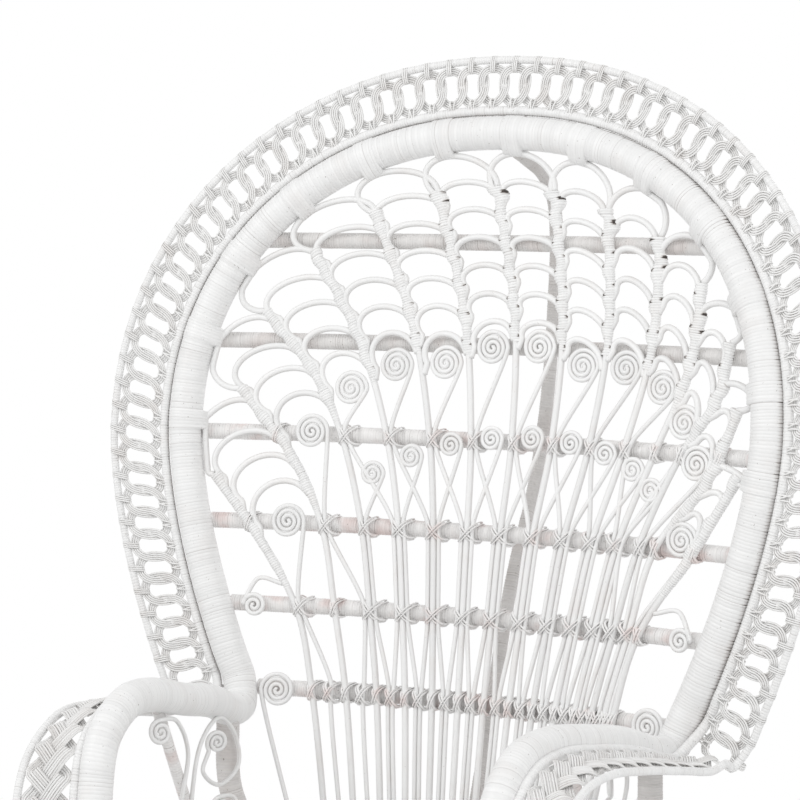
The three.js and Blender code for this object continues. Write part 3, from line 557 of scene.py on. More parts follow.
# The rims: two rods as thick as a pencil, bound with fine cane. One is tied along the outside of the
# hoop and the arms, and the other runs round the border and down the edge of each arm's band.
border_width = 0.092
rim_diameter = 0.010
inner_rim_diameter = 0.0125
rim_cane = 0.0036
rim_gap = 0.0002
inner_rim_offset = (hoop_diameter + inner_rim_diameter) / 2 + rim_gap
arm_rim_shares = [(0.05, 0.03, 0.8), (0.13, 0.1, 0.79), (0.27, 0.22, 0.83), (0.48, 0.36, 0.89),
                  (0.67, 0.48, 0.925), (0.81, 0.54, 0.89), (0.93, 0.55, 0.76), (0.99, 0.6, 0.55),
                  (1.0, 0.8, 0.26), (0.93, 1.45, 0.02)]

outer_line = on_back(hoop_outline(border_width))
inner_line = on_back(hoop_outline(inner_rim_offset))
arm_rim_line = smooth([outer_line[-1], *[arm_point(outer_line[-1], share) for share in arm_rim_shares]])
arm_steps = np.linspace(0, 1, 160)
arm_axis = along_line(arm_line, arm_steps)
arm_outward = unit(along_line(arm_rim_line, arm_steps) - arm_axis)
arm_edge_line = arm_axis + arm_outward * (arm_diameter + rim_diameter) / 2

outer_rim = Form()
outer_rim.wound(foot_to_foot(outer_line, arm_rim_line), rim_diameter, rim_cane, sides=9)
outer_rim.piece("outer_rim", wrapped_paint, "wrapped_poles",
                "border_rim_outer", "arm_rim_right", "arm_rim_left")

inner_rim = Form()
edge = arm_edge_line[12:-6:3]
inner_whole = smooth(np.concatenate([mirrored(edge[::-1]), inner_line[3:-3:4], edge]))
inner_rim.wound(inner_whole, inner_rim_diameter, rim_cane, sides=10,
                shadow=lambda place, at, out: painted_seam_shade(at, out, -1))
inner_rim.piece("inner_rim", wrapped_paint, "wrapped_poles", "border_rim_inner")

# The border: rings of four thin canes side by side, each linked through the next, over it towards the
# hoop and under it towards the outer rim, and tied to both rims with cane.
cane_paint = painted_cane(
    "looped_cane_paint", paint=(0.865, 0.863, 0.856, 1), recess=(0.79, 0.765, 0.745, 1),
    line_share=0.95, speck_share=0.35, roughness=0.36)
ring_pitch = 0.0295
ring_length = 0.0450
ring_cane = 0.0027
ring_canes = 4
ring_fullness = 2.25
link_depth, link_depth_gain = 0.0021, 0.1
ring_askew, ring_slack = 0.0006, 0.0002
tie_cane = 0.0023
tie_thickness_share, tie_squareness = 0.55, 0.7
tie_reach_share, tie_depth_share = 0.05, 0.15
inner_turns = ((-0.0032, 0.0028), (0, -0.0026), (0.0032, 0.0028))
outer_turns = ((-0.0024, 0.0008), (0, 0.0008), (0.0024, 0.0008))


class Strip:
    """The ground between two rims, as (along, across, depth) with the along share from 0 to 1."""

    def __init__(self, inner, outer):
        self.inner, self.outer = inner, outer
        self.length = (lengths(inner)[-1] + lengths(outer)[-1]) / 2

    def place(self, share, across, deep):
        """Points at a distance from the middle of the strip and in front of it."""
        share = np.clip(share, 0, 1)
        near, far = along_line(self.inner, share), along_line(self.outer, share)
        step = 0.5 / len(self.inner)
        ahead, behind = (along_line(self.inner, np.clip(share + way * step, 0, 1)) for way in (1, -1))
        run = ahead - behind
        out = unit(far - near)
        facing = unit(np.cross(run, out))
        return (near + far) / 2 + out * np.asarray(across)[:, None] + facing * np.asarray(deep)[:, None]

    def half(self, share):
        """Half the distance between the rims."""
        share = np.atleast_1d(share)
        return np.linalg.norm(along_line(self.inner, share) - along_line(self.outer, share), axis=1) / 2


def tie_round(form, strip, share, centre, half_across, half_deep, shift, lean, steps=14):
    """A turn of thin flat cane round whatever lies at a place across a strip."""
    angle = np.arange(steps) * 2 * math.pi / steps
    across = centre + half_across * np.sign(np.cos(angle)) * np.abs(np.cos(angle)) ** tie_squareness
    deep = half_deep * np.sign(np.sin(angle)) * np.abs(np.sin(angle)) ** tie_squareness
    along = share + (shift + lean * np.cos(angle)) / strip.length
    line = strip.place(along, across, deep)
    radial = line[0] - line.mean(0)
    form.strand(line, tie_cane * tie_thickness_share, width=tie_cane, first=radial, closed=True)


border = Strip(inner_line, outer_line)
ring_count = round(border.length / ring_pitch)
angle = np.arange(36) * 2 * math.pi / 36
bent = [np.sign(f(angle)) * np.abs(f(angle)) ** (2 / ring_fullness) for f in (np.cos, np.sin)]
section_count = 4
for section in range(section_count):
    rings, ties = Form(), Form()
    first_ring, next_ring = (ring_count * count // section_count for count in (section, section + 1))
    for ring in range(first_ring, next_ring):
        share = (ring + 0.5) / ring_count
        room = border.half(share)[0] - rim_diameter / 2
        askew = chance.normal(0, ring_askew, 2)
        for lane in range(ring_canes):
            inset = ring_cane * (lane + 0.5)
            along = share + ((ring_length / 2 - inset) * bent[0] + askew[0]) / border.length
            deep = -link_depth * np.sin(2 * angle) * (1 + link_depth_gain * lane)
            deep = deep + chance.normal(0, ring_slack)
            rings.strand(border.place(along, (room - inset) * bent[1], deep), ring_cane, closed=True)
        reach = (ring_cane * ring_canes + rim_diameter) / 2 + tie_cane * tie_reach_share
        deep = rim_diameter / 2 + tie_cane * tie_depth_share
        for side, turns in ((-1, inner_turns), (1, outer_turns)):
            centre = side * (room - ring_cane * ring_canes / 2 + rim_diameter / 2)
            for shift, lean in turns:
                tie_round(ties, border, share, centre, reach, deep, shift, lean)
    rings.piece(f"border_rings_{section + 1}", cane_paint, "woven_cane", f"border_chain_{section + 1}")
    ties.piece(f"border_ties_{section + 1}", cane_paint, "woven_cane")

# The rails: six poles across the back, behind the ribs, bound with cane and nailed to the hoop. The
# spine is a bowed pole behind them, from the seat ring to the top of the hoop.
rail_diameter = 0.021
rail_shares = [0.248, 0.36, 0.471, 0.592, 0.717, 0.854]
rail_cane = 0.0035
spine_diameter = 0.018
spine_bulge = 0.192
spine_shares = [(0.99, 0.02), (0.965, 0.42), (0.943, 0.7), (0.909, 0.885), (0.85, 0.975), (0.77, 1),
                (0.67, 1), (0.59, 0.955), (0.5, 0.84), (0.427, 0.67), (0.36, 0.556), (0.253, 0.44),
                (0.125, 0.29), (0, 0.09)]
rail_paint = painted_cane(
    "rail_paint", paint=(0.86, 0.848, 0.84, 1), recess=(0.72, 0.55, 0.52, 1),
    line_share=0.95, speck_share=0.8, roughness=0.4)
# The top two rails get a darker copy of the rail paint: painted shade, as they lie in shade behind the
# arches.
shaded_upper_rail_paint = painted_cane(
    "shaded_upper_rail_paint", paint=(0.765, 0.75, 0.738, 1), recess=(0.66, 0.60, 0.58, 1),
    line_share=0.95, speck_share=0.8, roughness=0.42)
rail_heights = [lerp(seat_height, hoop_top, share) for share in rail_shares]
rail_behind = 0.0165
rail_sink_share = 0.3
upper_rails = (4, 5)


def half_width_at(height):
    right = hoop_outline(0)[2 * hoop_steps:]
    return float(np.interp(-height, -right[:, 1], right[:, 0]))


for row, height in enumerate(rail_heights):
    reach = half_width_at(height) - hoop_diameter * rail_sink_share
    x = np.linspace(-reach, reach, 60)
    rail = Form()
    line = smooth(on_back(np.stack([x, np.full(60, height)], 1), rail_behind))
    rail.wound(line, rail_diameter, rail_cane)
    paint = shaded_upper_rail_paint if row in upper_rails else rail_paint
    rail.piece(f"rail_{row + 1}", paint, "wrapped_poles", f"back_rail_{row + 1}")

shaded_paint = painted_cane(
    "shaded_pole_paint", paint=(0.70, 0.68, 0.667, 1), recess=(0.60, 0.555, 0.535, 1),
    line_share=0.9, speck_share=0.8, roughness=0.45)
spine = Form()
spine_line = np.concatenate([on_back([(0, lerp(seat_height, hoop_top, rise))], spine_bulge * bulge)
                             for rise, bulge in spine_shares])
spine.wound(smooth(spine_line), spine_diameter, rail_cane, sides=12)
spine.piece("bowed_spine", shaded_paint, "wrapped_poles", "back_spine")

# The fan: round canes rise from the seat, lean out and end at the hoop. Above the scrolls each one is
# bound with cane, and arches spring from its right side over to the next.
rib_diameter, thin_rib = 0.0085, 0.0065
lane_shares = [0.072, 0.0893, 0.1017, 0.1154, 0.1414]
lane_lead, lane_drift = 1.75, 0.0042
lane_turn, lane_turn_drift = 15.4, 0.016
lane_top_drop, right_lane_top_drop, outer_lane_top_drop = 0.046, 0.020, 0.012
lane_belly, outer_lane_belly = 0.015, 0.038
arch_step = 0.036
side_stretch = 0.02
near_drops = [(-5, 0.034), (-3, 0.032), (-1, 0.022), (0, 0.014), (1, 0.010), (6, 0.010)]
far_drops = [(-5, 0.033), (-3, 0.031), (-1, 0.020), (0, 0.018), (1, 0.024), (3, 0.029), (6, 0.031)]
arch_inset, far_arch_inset = 0.0085, 0.0065
arch_tail, tail_inset = 0.012, 0.0025
cane_step, coil_step = 0.003, 0.0025
coil_slack, coil_points = 1.04, 22
arch_flare = 26
scroll_drop = 0.032
scroll_diameter, small_scroll_diameter = 0.0495, 0.0365
scroll_turns, small_scroll_turns = 3.35, 2.6
left_scroll_drop = 0.0055
small_scroll_columns = 4
small_scroll_lift, small_scroll_sag = 0.008, 0.054
sleeve_diameter, sleeve_cane, sleeve_depth = 0.0128, 0.0033, 0.0011
sleeve_thin_run, sleeve_end_room = 0.035, 0.004
foot_swell, foot_swell_reach, foot_swell_facing = 0.0045, 0.012, 1.5
crotch_rise, crotch_edge, crotch_shade = 0.005, 0.0022, 1.5
crotch_from, crotch_steepness = 0.4, 4
stem_diameter, small_stem_diameter = 0.0060, 0.0056
tie_run = 0.010
lane_room = 0.03
end_curl_inset = 0.030
end_curl_crest, end_curl_root = (-0.1, 0.95), 0.8
end_stem_foot = 0.205
small_stem_behind = -0.0004
rib_paint = painted_cane(
    "rib_paint", paint=(0.88, 0.88, 0.877, 1), recess=(0.85, 0.83, 0.815, 1),
    line_share=0.62, speck_share=0.25, roughness=0.3)
inner_outline = hoop_outline(-hoop_diameter / 2)


def lane_x(index, stop):
    """How far a lane is from the middle at the seat ring (stop 0) or at one of the lower four rails."""
    turn = index + lane_lead
    return hoop_half_width * lane_shares[stop] * turn * (1 - lane_drift * turn * abs(turn))


def is_outer(index):
    """The first and last lanes have no column on their outer side."""
    return index < first_column or index == columns[-1]


def top_drop(index):
    """How far below the hoop a lane begins: less on the right, where the lanes sweep out."""
    if is_outer(index):
        return outer_lane_top_drop
    return lerp(lane_top_drop, right_lane_top_drop, min(max((index - 1) / 3, 0), 1))


def lane_top(index):
    turn = index + 1
    edge = outline_at(inner_outline, lane_turn * turn * (1 - lane_turn_drift * turn))
    return edge + unit(back_centre - edge) * top_drop(index)


def lane_line(index):
    """A lane from its top down, in the front view."""
    top = lane_top(index)
    heights = [seat_height + seat_ring_diameter / 4, *rail_heights[:4]]
    stops = [np.array([lane_x(index, i), heights[i]]) for i in range(5)]
    stops = [p for p in stops if top[1] - p[1] > arch_step + lane_top_drop / 2]
    if is_outer(index):
        stops[-1][0] += math.copysign(outer_lane_belly, stops[-1][0])
    belly = (stops[-1] + top) / 2 + [0 if is_outer(index) else lane_belly, 0]
    return smooth([*stops, belly, top], cane_step)[::-1]


lanes = {index: lane_line(index) for index in range(first_column - 1, columns[-1] + 1)}


def down_lane(lane, passed):
    """The first point down a lane that has passed a place."""
    return lane[np.argmax(passed)] if passed.any() else lane[-1]


def lane_foot(lane, crown, down, drop):
    return down_lane(lane, (lane - crown) @ down >= drop * np.linalg.norm(down))


def lane_at(index, height):
    lane = lanes[index]
    return float(np.interp(-height, -lane[:, 1], lane[:, 0]))


def arch_line(index, hold, down, row):
    """An arch in the front view, with the two places where it meets its lanes."""
    crown = hold + down * row * arch_step
    drops = [np.interp(index, *zip(*table)) for table in (near_drops, far_drops)]
    drops = drops if row else [top_drop(index - 1), top_drop(index)]
    near, far = (lane_foot(lanes[i], crown, down, drop) for i, drop in zip((index - 1, index), drops))
    roots = [near, far]
    tails = [lane_foot(lanes[i], crown, down, drop + arch_tail)
             for i, drop in zip((index - 1, index), drops)]
    if row:
        right = unit(np.array([-down[1], down[0]]))
        near, far = near + right * arch_inset, far - right * far_arch_inset
        tails = [tails[0] + right * tail_inset, tails[1] - right * tail_inset]
    flare = 0 if row else math.radians(arch_flare)
    angle = np.linspace(math.pi + flare, -flare, 25)
    across = 0.5 + 0.5 * np.cos(angle) / math.cos(flare)
    rise = (np.sin(angle) + math.sin(flare)) / (1 + math.sin(flare))
    line = near + (far - near) * across[:, None] + (crown - (near + far) / 2) * rise[:, None]
    ray = line - back_centre
    edge = np.array([outline_at(arch_outline, math.degrees(math.atan2(*r))) for r in ray])
    outside = np.linalg.norm(edge - back_centre, axis=1) < np.linalg.norm(ray, axis=1)
    line = np.where(outside[:, None], edge, line)
    return smooth([tails[0], *line, tails[1]], cane_step), roots


def spiral(centre, diameter, strand, turns, start=0.0, wind=1):
    """A flat coil from its eye outwards."""
    t = np.arange(0, turns + 1e-6, 1 / coil_points)[::-1]
    radius = (diameter - strand) / 2 - t * strand * coil_slack
    angle = (start + wind * t) * 2 * math.pi
    return centre + np.stack([radius * np.cos(angle), radius * np.sin(angle)], 1)


def beside_lane(index, row, side):
    """Two points on the left (-1) or right (1) of a lane, above and below the rail that it crosses."""
    return [np.array([lane_at(index, rail_heights[row] + up) + side * (rib_diameter + thin_rib) / 2,
                      rail_heights[row] + up]) for up in (tie_run, -tie_run)]


def between_lanes(index, side):
    """Two points halfway between two lanes, at the lowest rail and at the seat ring."""
    middle = (lane_at(index - 1, rail_heights[0]) + lane_at(index, rail_heights[0])) / 2
    root = middle * lane_shares[0] / lane_shares[1]
    return [np.array([middle + side * stem_diameter / 2, rail_heights[0] + tie_run]),
            np.array([middle + side * stem_diameter / 2, rail_heights[0] - tie_run]),
            np.array([root + side * stem_diameter / 2, seat_height + seat_ring_diameter / 4])]


def goal_of(index):
    """The centre of the scroll that closes a column, and the way down to it from the hoop."""
    hold = holds[index]
    stretch = 1 + side_stretch * abs(index)
    depth = (arch_step * (arch_counts[index - first_column] - 1) + scroll_drop) * stretch
    depth += left_scroll_drop * min(max(-index - 1, 0), 4)
    ends = []
    for lane in (lanes[index - 1], lanes[index]):
        away = np.linalg.norm(lane - hold, axis=1)
        ends.append(down_lane(lane, (away >= depth) & (lane[:, 1] < hold[1])))
    goal = (ends[0] + ends[1]) / 2
    return goal, unit(goal - hold) * stretch


def put_on_back(form, flat, diameter, step=coil_step, behind=0.0):
    """A round cane along a front-view line, on the surface of the back."""
    form.strand(on_back(smooth(flat, step), behind), diameter, sides=8, first=(0, -1, 0))


def scroll_stems(body, index, goal):
    """The scrolls of a column, each with its stem. A stem runs down to the lane on its left, and the big
    scroll's then crosses over to the lane on its right. Both end halfway between the lanes."""
    rows = [row for row in (3, 2, 1) if rail_heights[row] < goal[1] - scroll_diameter]
    stem = []
    for place, row in enumerate(rows):
        lane, side = (index, -1) if place else (index - 1, 1)
        stem += beside_lane(lane, row, side)
        bundles.setdefault((row, lane), []).append(stem[-1][0])
    coil = spiral(goal, scroll_diameter, stem_diameter, scroll_turns)
    put_on_back(body, [*coil, *stem, *between_lanes(index, 1)], stem_diameter)
    bundles[0, index - 0.5] = [p[1][0] for p in (between_lanes(index, 1), between_lanes(index, -1))]
    if abs(index) > small_scroll_columns:
        return
    level = rail_heights[3] + small_scroll_lift - small_scroll_sag * (index / small_scroll_columns) ** 2
    centre = np.array([(lane_at(index - 1, level) + lane_at(index, level)) / 2, level])
    stem = [*beside_lane(index - 1, 2, 1), *beside_lane(index - 1, 1, 1)]
    for row in (2, 1):
        bundles.setdefault((row, index - 1), []).append(stem[5 - 2 * row][0])
    coil = spiral(centre, small_scroll_diameter, small_stem_diameter, small_scroll_turns)
    line = [*coil, *stem, *between_lanes(index, -1)]
    put_on_back(body, line, small_stem_diameter, behind=small_stem_behind)


def end_curl(body, index):
    """An outer lane's curl over the second rail, to a small coil near the hoop."""
    side = -1 if index < first_column else 1
    height = rail_heights[1]
    centre = np.array([half_width_at(height) - hoop_diameter / 2 - end_curl_inset, height])
    coil = spiral(centre, small_scroll_diameter, stem_diameter, small_scroll_turns)
    crest = centre + small_scroll_diameter * np.array(end_curl_crest)
    root_x = side * lane_at(index, height + small_scroll_diameter)
    root = [root_x, height + small_scroll_diameter * end_curl_root]
    put_on_back(body, np.array([*coil, crest, root]) * [side, 1], stem_diameter)


fan = {index: Form() for index in lanes}
roots = {index: [] for index in lanes}
bundles = {}
for index, lane in lanes.items():
    put_on_back(fan[index], lane[::-8], rib_diameter, step=0.004)
    for row in range(4):
        if lane[0][1] > rail_heights[row] + lane_room:
            bundles.setdefault((row, index), []).append(lane_at(index, rail_heights[row]))
for index in columns:
    goal, down = goal_of(index)
    for row in range(arch_counts[index - first_column]):
        line, (near, far) = arch_line(index, holds[index], down, row)
        fan[index].strand(on_back(line), arch_strand, sides=9, first=(0, -1, 0))
        roots[index - 1].append((near, 1))
        roots[index].append((far, -1))
    scroll_stems(fan[index - 1], index, goal)


def painted_crotch_shade(index):
    """Painted shade in the small hollow where an arch leaves the sleeve."""
    def shadow(place, at, out):
        dark = np.zeros(out.shape[:2])
        for root, side in roots[index]:
            above = on_back([root])[0] + [0, 0, crotch_rise]
            gap = np.linalg.norm(at - above, axis=1)
            near = np.clip(crotch_shade - gap / crotch_edge, 0, 1)[:, None]
            dark += near * np.clip(out[:, :, 0] * side - crotch_from, 0, 1) * crotch_steepness
        return np.minimum(dark, crotch_shade)
    return shadow


def sleeve_swell(index, reach):
    """A sleeve thickens towards each arch that springs from it, and thins out at its lower end."""
    def swell(place, at, out):
        end = np.clip(1 - (reach - place) / sleeve_thin_run, 0, 1)[:, None]
        size = -end * (sleeve_diameter - rib_diameter) / 2
        size = size + np.zeros(out.shape[:2])
        for root, side in roots[index]:
            gap = np.linalg.norm(at - on_back([root])[0], axis=1)
            bulge = np.clip(1 - (gap / foot_swell_reach) ** 2, 0, 1)[:, None]
            size += foot_swell * bulge * np.clip(out[:, :, 0] * side, 0, 1) ** foot_swell_facing
        return size
    return swell


for index, lane in lanes.items():
    ends = [goal_of(i)[0][1] for i in (index, index + 1) if i in columns]
    wrap = lane[:len(lane) // 3] if is_outer(index) else lane[lane[:, 1] > min(ends) + sleeve_end_room]
    line = on_back(smooth(wrap[::6]))
    fan[index].wound(line, sleeve_diameter, sleeve_cane, depth=sleeve_depth,
                     swell=sleeve_swell(index, lengths(line)[-1]), shadow=painted_crotch_shade(index))
    if is_outer(index):
        end_curl(fan[index], index)
    name = "fan_lane_left" if index < first_column else f"fan_column_{index - first_column + 1:02d}"
    fan[index].piece("ribs_" + name[4:], rib_paint, "cane_ribs", name)
for side, hand in ((1, "right"), (-1, "left")):
    curl = Form()
    reach = half_width_at(rail_heights[0]) - (hoop_diameter + scroll_diameter) / 2
    coil = spiral(np.array([reach, rail_heights[0]]), scroll_diameter, stem_diameter, scroll_turns)
    foot = [end_stem_foot, seat_height + seat_ring_diameter / 4]
    put_on_back(curl, np.array([*coil, foot]) * [side, 1], stem_diameter)
    curl.piece(f"end_scroll_{hand}", rib_paint, "cane_ribs", f"fan_scroll_{hand}")

# The ties: where ribs cross a rail, flat cane runs slantwise over the bundle and behind the rail, once
# each way, and makes a cross in front.
tie_width, tie_thickness = 0.0035, 0.0020
tie_room, tie_lift = 0.0014, 0.0008
cross_squareness, cross_unevenness = 0.62, 0.06
tie_paint = painted_cane(
    "tie_paint", paint=(0.895, 0.888, 0.882, 1), recess=(0.80, 0.65, 0.62, 1),
    line_share=0.5, speck_share=0.5, roughness=0.36)
ties = Form()
angle = np.arange(18) * 2 * math.pi / 18
bend = [np.sign(f(angle)) * np.abs(f(angle)) ** cross_squareness for f in (np.cos, np.sin)]
in_front = bend[1] < 0
for (row, _), ribs in bundles.items():
    centre = on_back([((min(ribs) + max(ribs)) / 2, rail_heights[row])])[0]
    half_wide = (max(ribs) - min(ribs) + rib_diameter) / 2
    half_high = rail_diameter / 2 + tie_room
    front = -(rib_diameter / 2 + tie_room)
    for way in (-1, 1):
        corner = np.array([way * half_wide, 0, half_high])
        corner = corner * (1 + chance.uniform(-cross_unevenness, cross_unevenness))
        for shift in (-tie_width / 2, tie_width / 2):
            deep = np.where(in_front, rail_behind + (rail_behind - front + tie_lift * way) * bend[1],
                            rail_behind + half_high * np.sin(angle))
            line = centre + corner * np.where(in_front, bend[0], np.cos(angle))[:, None]
            line = line + shift * unit(np.array([half_high, 0, -way * half_wide]))
            line[:, 1] += deep
            ties.strand(line, tie_thickness, width=tie_width, first=(0, 0, 1), closed=True)
ties.piece("rib_ties", tie_paint, "cane_ribs")

# The arms' bands: three bundles of six canes, plaited on the slant between the arm pole and the outer
# rim, over one and under the next, and turned back with a small loop at each rim.
band_pitch = 0.092
band_curl = 0.0050
band_canes = 6
band_cane = 0.0031
band_depth, band_wave_steps = 0.0040, 40
band_from, band_to = 0.05, 0.93


def arm_band(flip):
    """The band of the right arm (1), or its mirror image (-1)."""
    band = Form()
    strip = Strip(arm_edge_line, along_line(arm_rim_line, arm_steps))
    waves = round(strip.length * (band_to - band_from) / band_pitch)
    for phase in (0, 1 / 3, 2 / 3):
        turn = np.linspace(0, waves, waves * band_wave_steps + 1)
        wave = 2 * math.pi * (turn + phase)
        share = band_from + (band_to - band_from) * turn / waves
        room = strip.half(share) - rim_diameter / 2
        level = np.zeros(len(room))
        for lane in range(band_canes):
            along = share + band_curl * np.sin(2 * wave) / strip.length
            side = (lane - (band_canes - 1) / 2) * band_cane
            across = (room - band_cane * band_canes / 2) * np.sin(wave)
            centre = strip.place(along, across, -band_depth * np.sin(2 * wave))
            run = unit(np.gradient(centre, axis=0))
            facing = unit(strip.place(along, level, level + 0.01) - strip.place(along, level, level))
            line = centre + unit(np.cross(run, facing)) * side
            band.strand(line if flip > 0 else mirrored(line), band_cane)
    return band


for flip, hand in ((1, "right"), (-1, "left")):
    arm_band(flip).piece(f"arm_lattice_{hand}", cane_paint, "woven_cane", f"arm_band_{hand}")

# The arms' posts, braces and scrolls: a bound post and two slim bound braces stand under each arm, and
# three round canes curl into scrolls beside them.
post_diameter, brace_diameter = 0.030, 0.015
post_share = (0.1, 0.83)
post_bow = 0.028
brace_shares = [(0.42, 0.5), (0.76, -0.05)]
brace_cane = 0.004
arm_scroll_strand, arm_scroll_diameter = 0.0056, 0.035
arm_scroll_turns = 2.5
arm_scroll_turn = math.radians(30)
arm_scrolls = [
    (0.25, 1, [(0.622, 0.83), (0.53, 0.87), (0.463, 0.72), (0.5, 0.5), (0.536, 0.24), (0.55, 0)]),
    (0.6, -1, [(0.285, 0.71), (0.375, 0.6), (0.285, 0.51), (0.18, 0.58), (0.18, 0.72), (0.265, 0.82),
               (0.385, 0.73), (0.44, 0.5), (0.45, 0.24), (0.455, 0)]),
    (0.25, 1, [(0.285, 0.4), (0.22, 0.43), (0.2, 0.29), (0.23, 0.12), (0.26, 0)])]


def panel_point(run, rise):
    """A point between the seat ring and the arm, by its shares of the way forwards and up."""
    y = hoop_feet[1] - arm_run * run
    above = arm_line[np.argmax(arm_line[:, 1] <= y)]
    foot = seat_edge(y - seat_middle)
    x = lerp(foot[0], above[0], rise) - arm_scroll_strand
    return np.array([x, y, lerp(seat_height, arm_crest, rise)])


def arm_scroll(start, wind, shares):
    centre, *tail = [panel_point(*share) for share in shares]
    coil = spiral(np.zeros(2), arm_scroll_diameter, arm_scroll_strand, arm_scroll_turns, start, wind)
    across, forward = -math.sin(arm_scroll_turn), math.cos(arm_scroll_turn)
    coil = centre + np.stack([coil[:, 0] * across, coil[:, 0] * forward, coil[:, 1]], 1)
    return smooth([*coil, *tail], cane_step)


for flip, hand in ((1, "right"), (-1, "left")):
    side = np.array([flip, 1, 1])
    post = Form()
    top = along_line(arm_line, [post_share[0]])[0]
    ends = [seat_edge(seat_half_depth * post_share[1]), top - [post_bow / 4, 0, post_bow * 4], top]
    post.wound(smooth(np.array(ends) * side), post_diameter, rail_cane, sides=18)
    post.piece(f"post_{hand}", shaded_paint, "wrapped_poles", f"arm_post_{hand}")
    for number, (reach, foot) in enumerate(brace_shares):
        outside = np.array([(brace_diameter + arm_scroll_strand) / 2, 0, 0])
        ends = [seat_edge(seat_half_depth * foot) + outside, along_line(arm_line, [reach])[0] + outside]
        brace = Form()
        brace.wound(smooth(np.array(ends) * side), brace_diameter, brace_cane, sides=12)
        name = f"brace_{number + 1}_{hand}"
        brace.piece(name, rail_paint, "wrapped_poles", "arm_" + name)
    for number, scroll in enumerate(arm_scrolls):
        curl = Form()
        curl.strand(arm_scroll(*scroll) * side, arm_scroll_strand, sides=9, first=(1, 0, 0))
        name = f"scroll_{number + 1}_{hand}"
        curl.piece(name, rib_paint, "cane_ribs", "arm_" + name)

# The seat: a bound ring of thick pole, a seat of cane woven over two and under two inside it, and a
# bearer from side to side under the weave.
weave_cane, weave_thickness, weave_overlap = 0.0068, 0.003, 1.3
weave_wave, weave_inset = 0.0016, 0.002
weave_softness = [0.2, 0.6, 0.2]
weave_paint = painted_cane(
    "weave_paint", paint=(0.84, 0.835, 0.825, 1), recess=(0.76, 0.74, 0.72, 1),
    line_share=0.3, speck_share=0.4, roughness=0.38)
bearer_diameter, bearer_inset = 0.018, 0.012


def squircle(half_x, half_y, power, angle):
    """Points of a ring: an ellipse at power 2, and squarer above."""
    bend = [np.sign(f(angle)) * np.abs(f(angle)) ** (2 / power) for f in (np.cos, np.sin)]
    return np.stack([half_x * bend[0], half_y * bend[1]], 1)


def ring_line(half_x, half_y, power, z, steps=240):
    """A closed ring round the seat's middle, cut open at the back."""
    flat = squircle(half_x, half_y, power, np.linspace(0, 2 * math.pi, steps + 1) + math.pi / 2)
    line = np.stack([flat[:, 0], flat[:, 1] + seat_middle, np.full(len(flat), z)], 1)
    return smooth(line[::2])


def ring_piece(name, node, half_x, half_y, power, z, diameter):
    """A bound pole bent into a level ring, in place of the node."""
    ring = Form()
    ring.wound(ring_line(half_x, half_y, power, z), diameter, binding_cane, sides=16)
    ring.piece(name, rail_paint, "wrapped_poles", node)


ring_piece("bound_seat_ring", "seat_ring", seat_half_width, seat_half_depth, seat_squareness,
           seat_height, seat_ring_diameter)

weave = Form()
inside = seat_ring_diameter / 2 - weave_inset
for way in (0, 1):
    half_run, half_across = seat_half_depth - inside, seat_half_width - inside
    if way:
        half_run, half_across = half_across, half_run
    count = int(2 * half_across / weave_cane)
    for number in range(count):
        across = (number + 0.5 - count / 2) * weave_cane
        room = 1 - (abs(across) / half_across) ** seat_squareness
        reach = half_run * room ** (1 / seat_squareness)
        half_steps = round(reach / weave_cane)
        if half_steps < 2:
            continue
        steps = np.arange(-half_steps, half_steps + 1)
        wave = np.sign(np.sin(math.pi * (steps + 0.5 + number) / 2)) * (1 if way else -1)
        wave = np.convolve(np.pad(wave, 1, "edge"), weave_softness, "valid")
        run = np.clip(steps * weave_cane, -reach, reach)
        z = seat_height + weave_wave + wave * weave_wave
        line = np.stack([run, np.full(len(run), across + seat_middle), z] if way
                        else [np.full(len(run), across), run + seat_middle, z], 1)
        weave.strand(line, weave_thickness, sides=4, width=weave_cane * weave_overlap, first=(0, 0, 1))
weave.piece("woven_seat", weave_paint, "woven_panels", "seat_weave")

bearer = Form()
bearer_reach = seat_half_width - bearer_inset
ends = [(side * bearer_reach, seat_middle, seat_low.z - bearer_diameter / 2) for side in (-1, 1)]
bearer.wound(smooth(ends), bearer_diameter, rail_cane, sides=12)
bearer.piece("seat_bearer_pole", rail_paint, "wrapped_poles", "seat_bearer")

# The base: pairs of round canes from the seat ring in to a narrow waist and out to the ring on the
# floor, with cane woven round them under the seat, at the waist and above the floor.
waist_height = 0.215
waist_half_width, waist_half_depth = 0.178, 0.165
waist_hoop_diameter, waist_hoop_inset = 0.016, 0.010
floor_half_width, floor_half_depth = 0.262, 0.250
floor_ring_diameter = 0.030
base_rib_diameter = 0.0085
base_ribs, base_rib_end_share, base_rib_apart_share = 16, 0.97, 0.52
neck_sharpness = 1.8
band_row, band_row_share = 0.0052, 0.98
band_swing, band_out, band_squareness = 0.0055, 0.0015, 0.6
small_turn = 0.02
bands = {"seat_apron": (0.7, 0.9), "waist_band": (-0.16, 0.16), "foot_band": (-0.9, -0.7)}


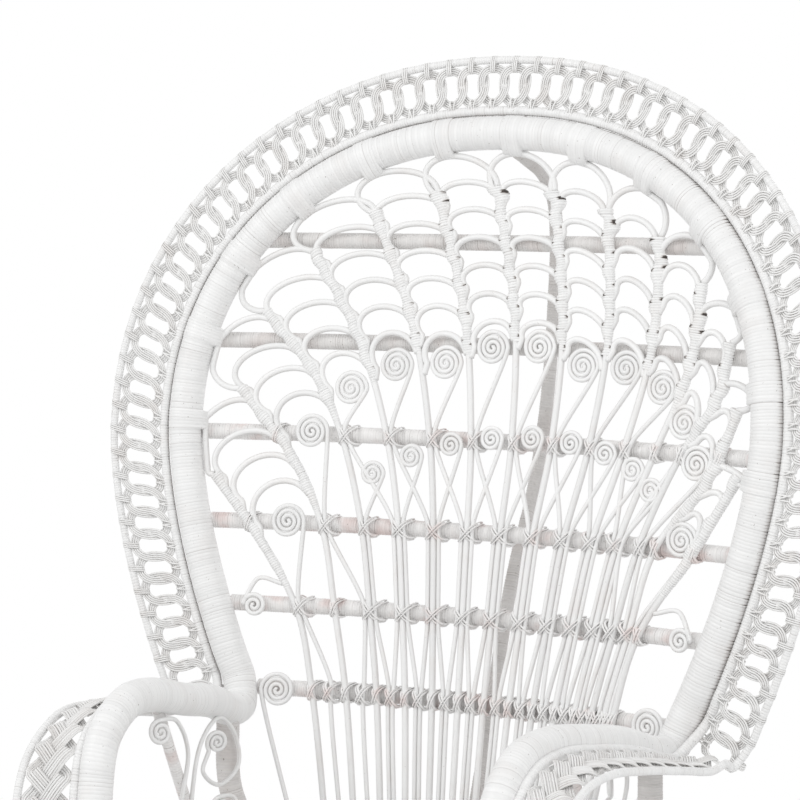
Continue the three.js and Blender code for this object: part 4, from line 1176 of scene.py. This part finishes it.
def base_level(share):
    """Half width, half depth, squareness and height at a share of the way from the waist up or down."""
    neck = 1 - abs(share) ** neck_sharpness
    wide = (seat_half_width, seat_half_depth) if share > 0 else (floor_half_width, floor_half_depth)
    high = seat_height if share > 0 else floor_ring_diameter / 2
    return (lerp(wide[0], waist_half_width, neck), lerp(wide[1], waist_half_depth, neck),
            lerp(2, seat_squareness, max(share, 0)), lerp(waist_height, high, abs(share)))


def base_place(share, angle, out=0.0):
    """Points round the base at a share of its height, moved outwards by out."""
    half_x, half_y, power, z = base_level(share)
    angle = np.asarray(angle, float)
    flat = squircle(half_x, half_y, power, angle)
    ahead, behind = (squircle(half_x, half_y, power, angle + way * small_turn) for way in (1, -1))
    run = ahead - behind
    flat = flat + unit(np.stack([run[:, 1], -run[:, 0]], 1)) * np.asarray(out).reshape(-1, 1)
    return np.stack([flat[:, 0], flat[:, 1] + seat_middle, np.full(len(flat), z)], 1)


ribs = Form()
for number in range(base_ribs):
    middle = (number + 0.5) * 2 * math.pi / base_ribs
    for side in (-1, 1):
        spots = []
        for share in np.linspace(-base_rib_end_share, base_rib_end_share, 25):
            here, beside = base_place(share, [middle, middle + small_turn])
            spots.append(here + unit(beside - here) * side * base_rib_diameter * base_rib_apart_share)
        ribs.strand(smooth(spots, 2 * cane_step), base_rib_diameter, sides=8)
waist = base_level(0)
waist_hoop = ring_line(waist[0] - waist_hoop_inset, waist[1] - waist_hoop_inset, 2, waist_height)
ribs.wound(waist_hoop, waist_hoop_diameter, rail_cane, sides=10)
quarters = [f"base_ribs_{end}_{hand}" for end in ("back", "front") for hand in ("right", "left")]
ribs.piece("base_cane_ribs", rib_paint, "wrapped_poles", *quarters)
ring_piece("bound_floor_ring", "floor_ring", floor_half_width, floor_half_depth, 2,
           floor_ring_diameter / 2, floor_ring_diameter)

turn = np.linspace(0, 2 * math.pi, base_ribs * 8 + 1)[:-1]
for node, (low, high) in bands.items():
    band = Form()
    rise = abs(base_level(high)[3] - base_level(low)[3])
    rows = round(rise / band_row)
    for row in range(rows):
        share = lerp(low, high, (row + 0.5) / rows)
        swing = np.cos(turn * base_ribs / 2 + math.pi * (row + 0.5))
        out = band_swing * np.sign(swing) * np.abs(swing) ** band_squareness + band_out
        band.strand(base_place(share, turn, out), band_row * band_row_share, closed=True)
    band.piece("woven_" + node, weave_paint, "woven_panels", node)
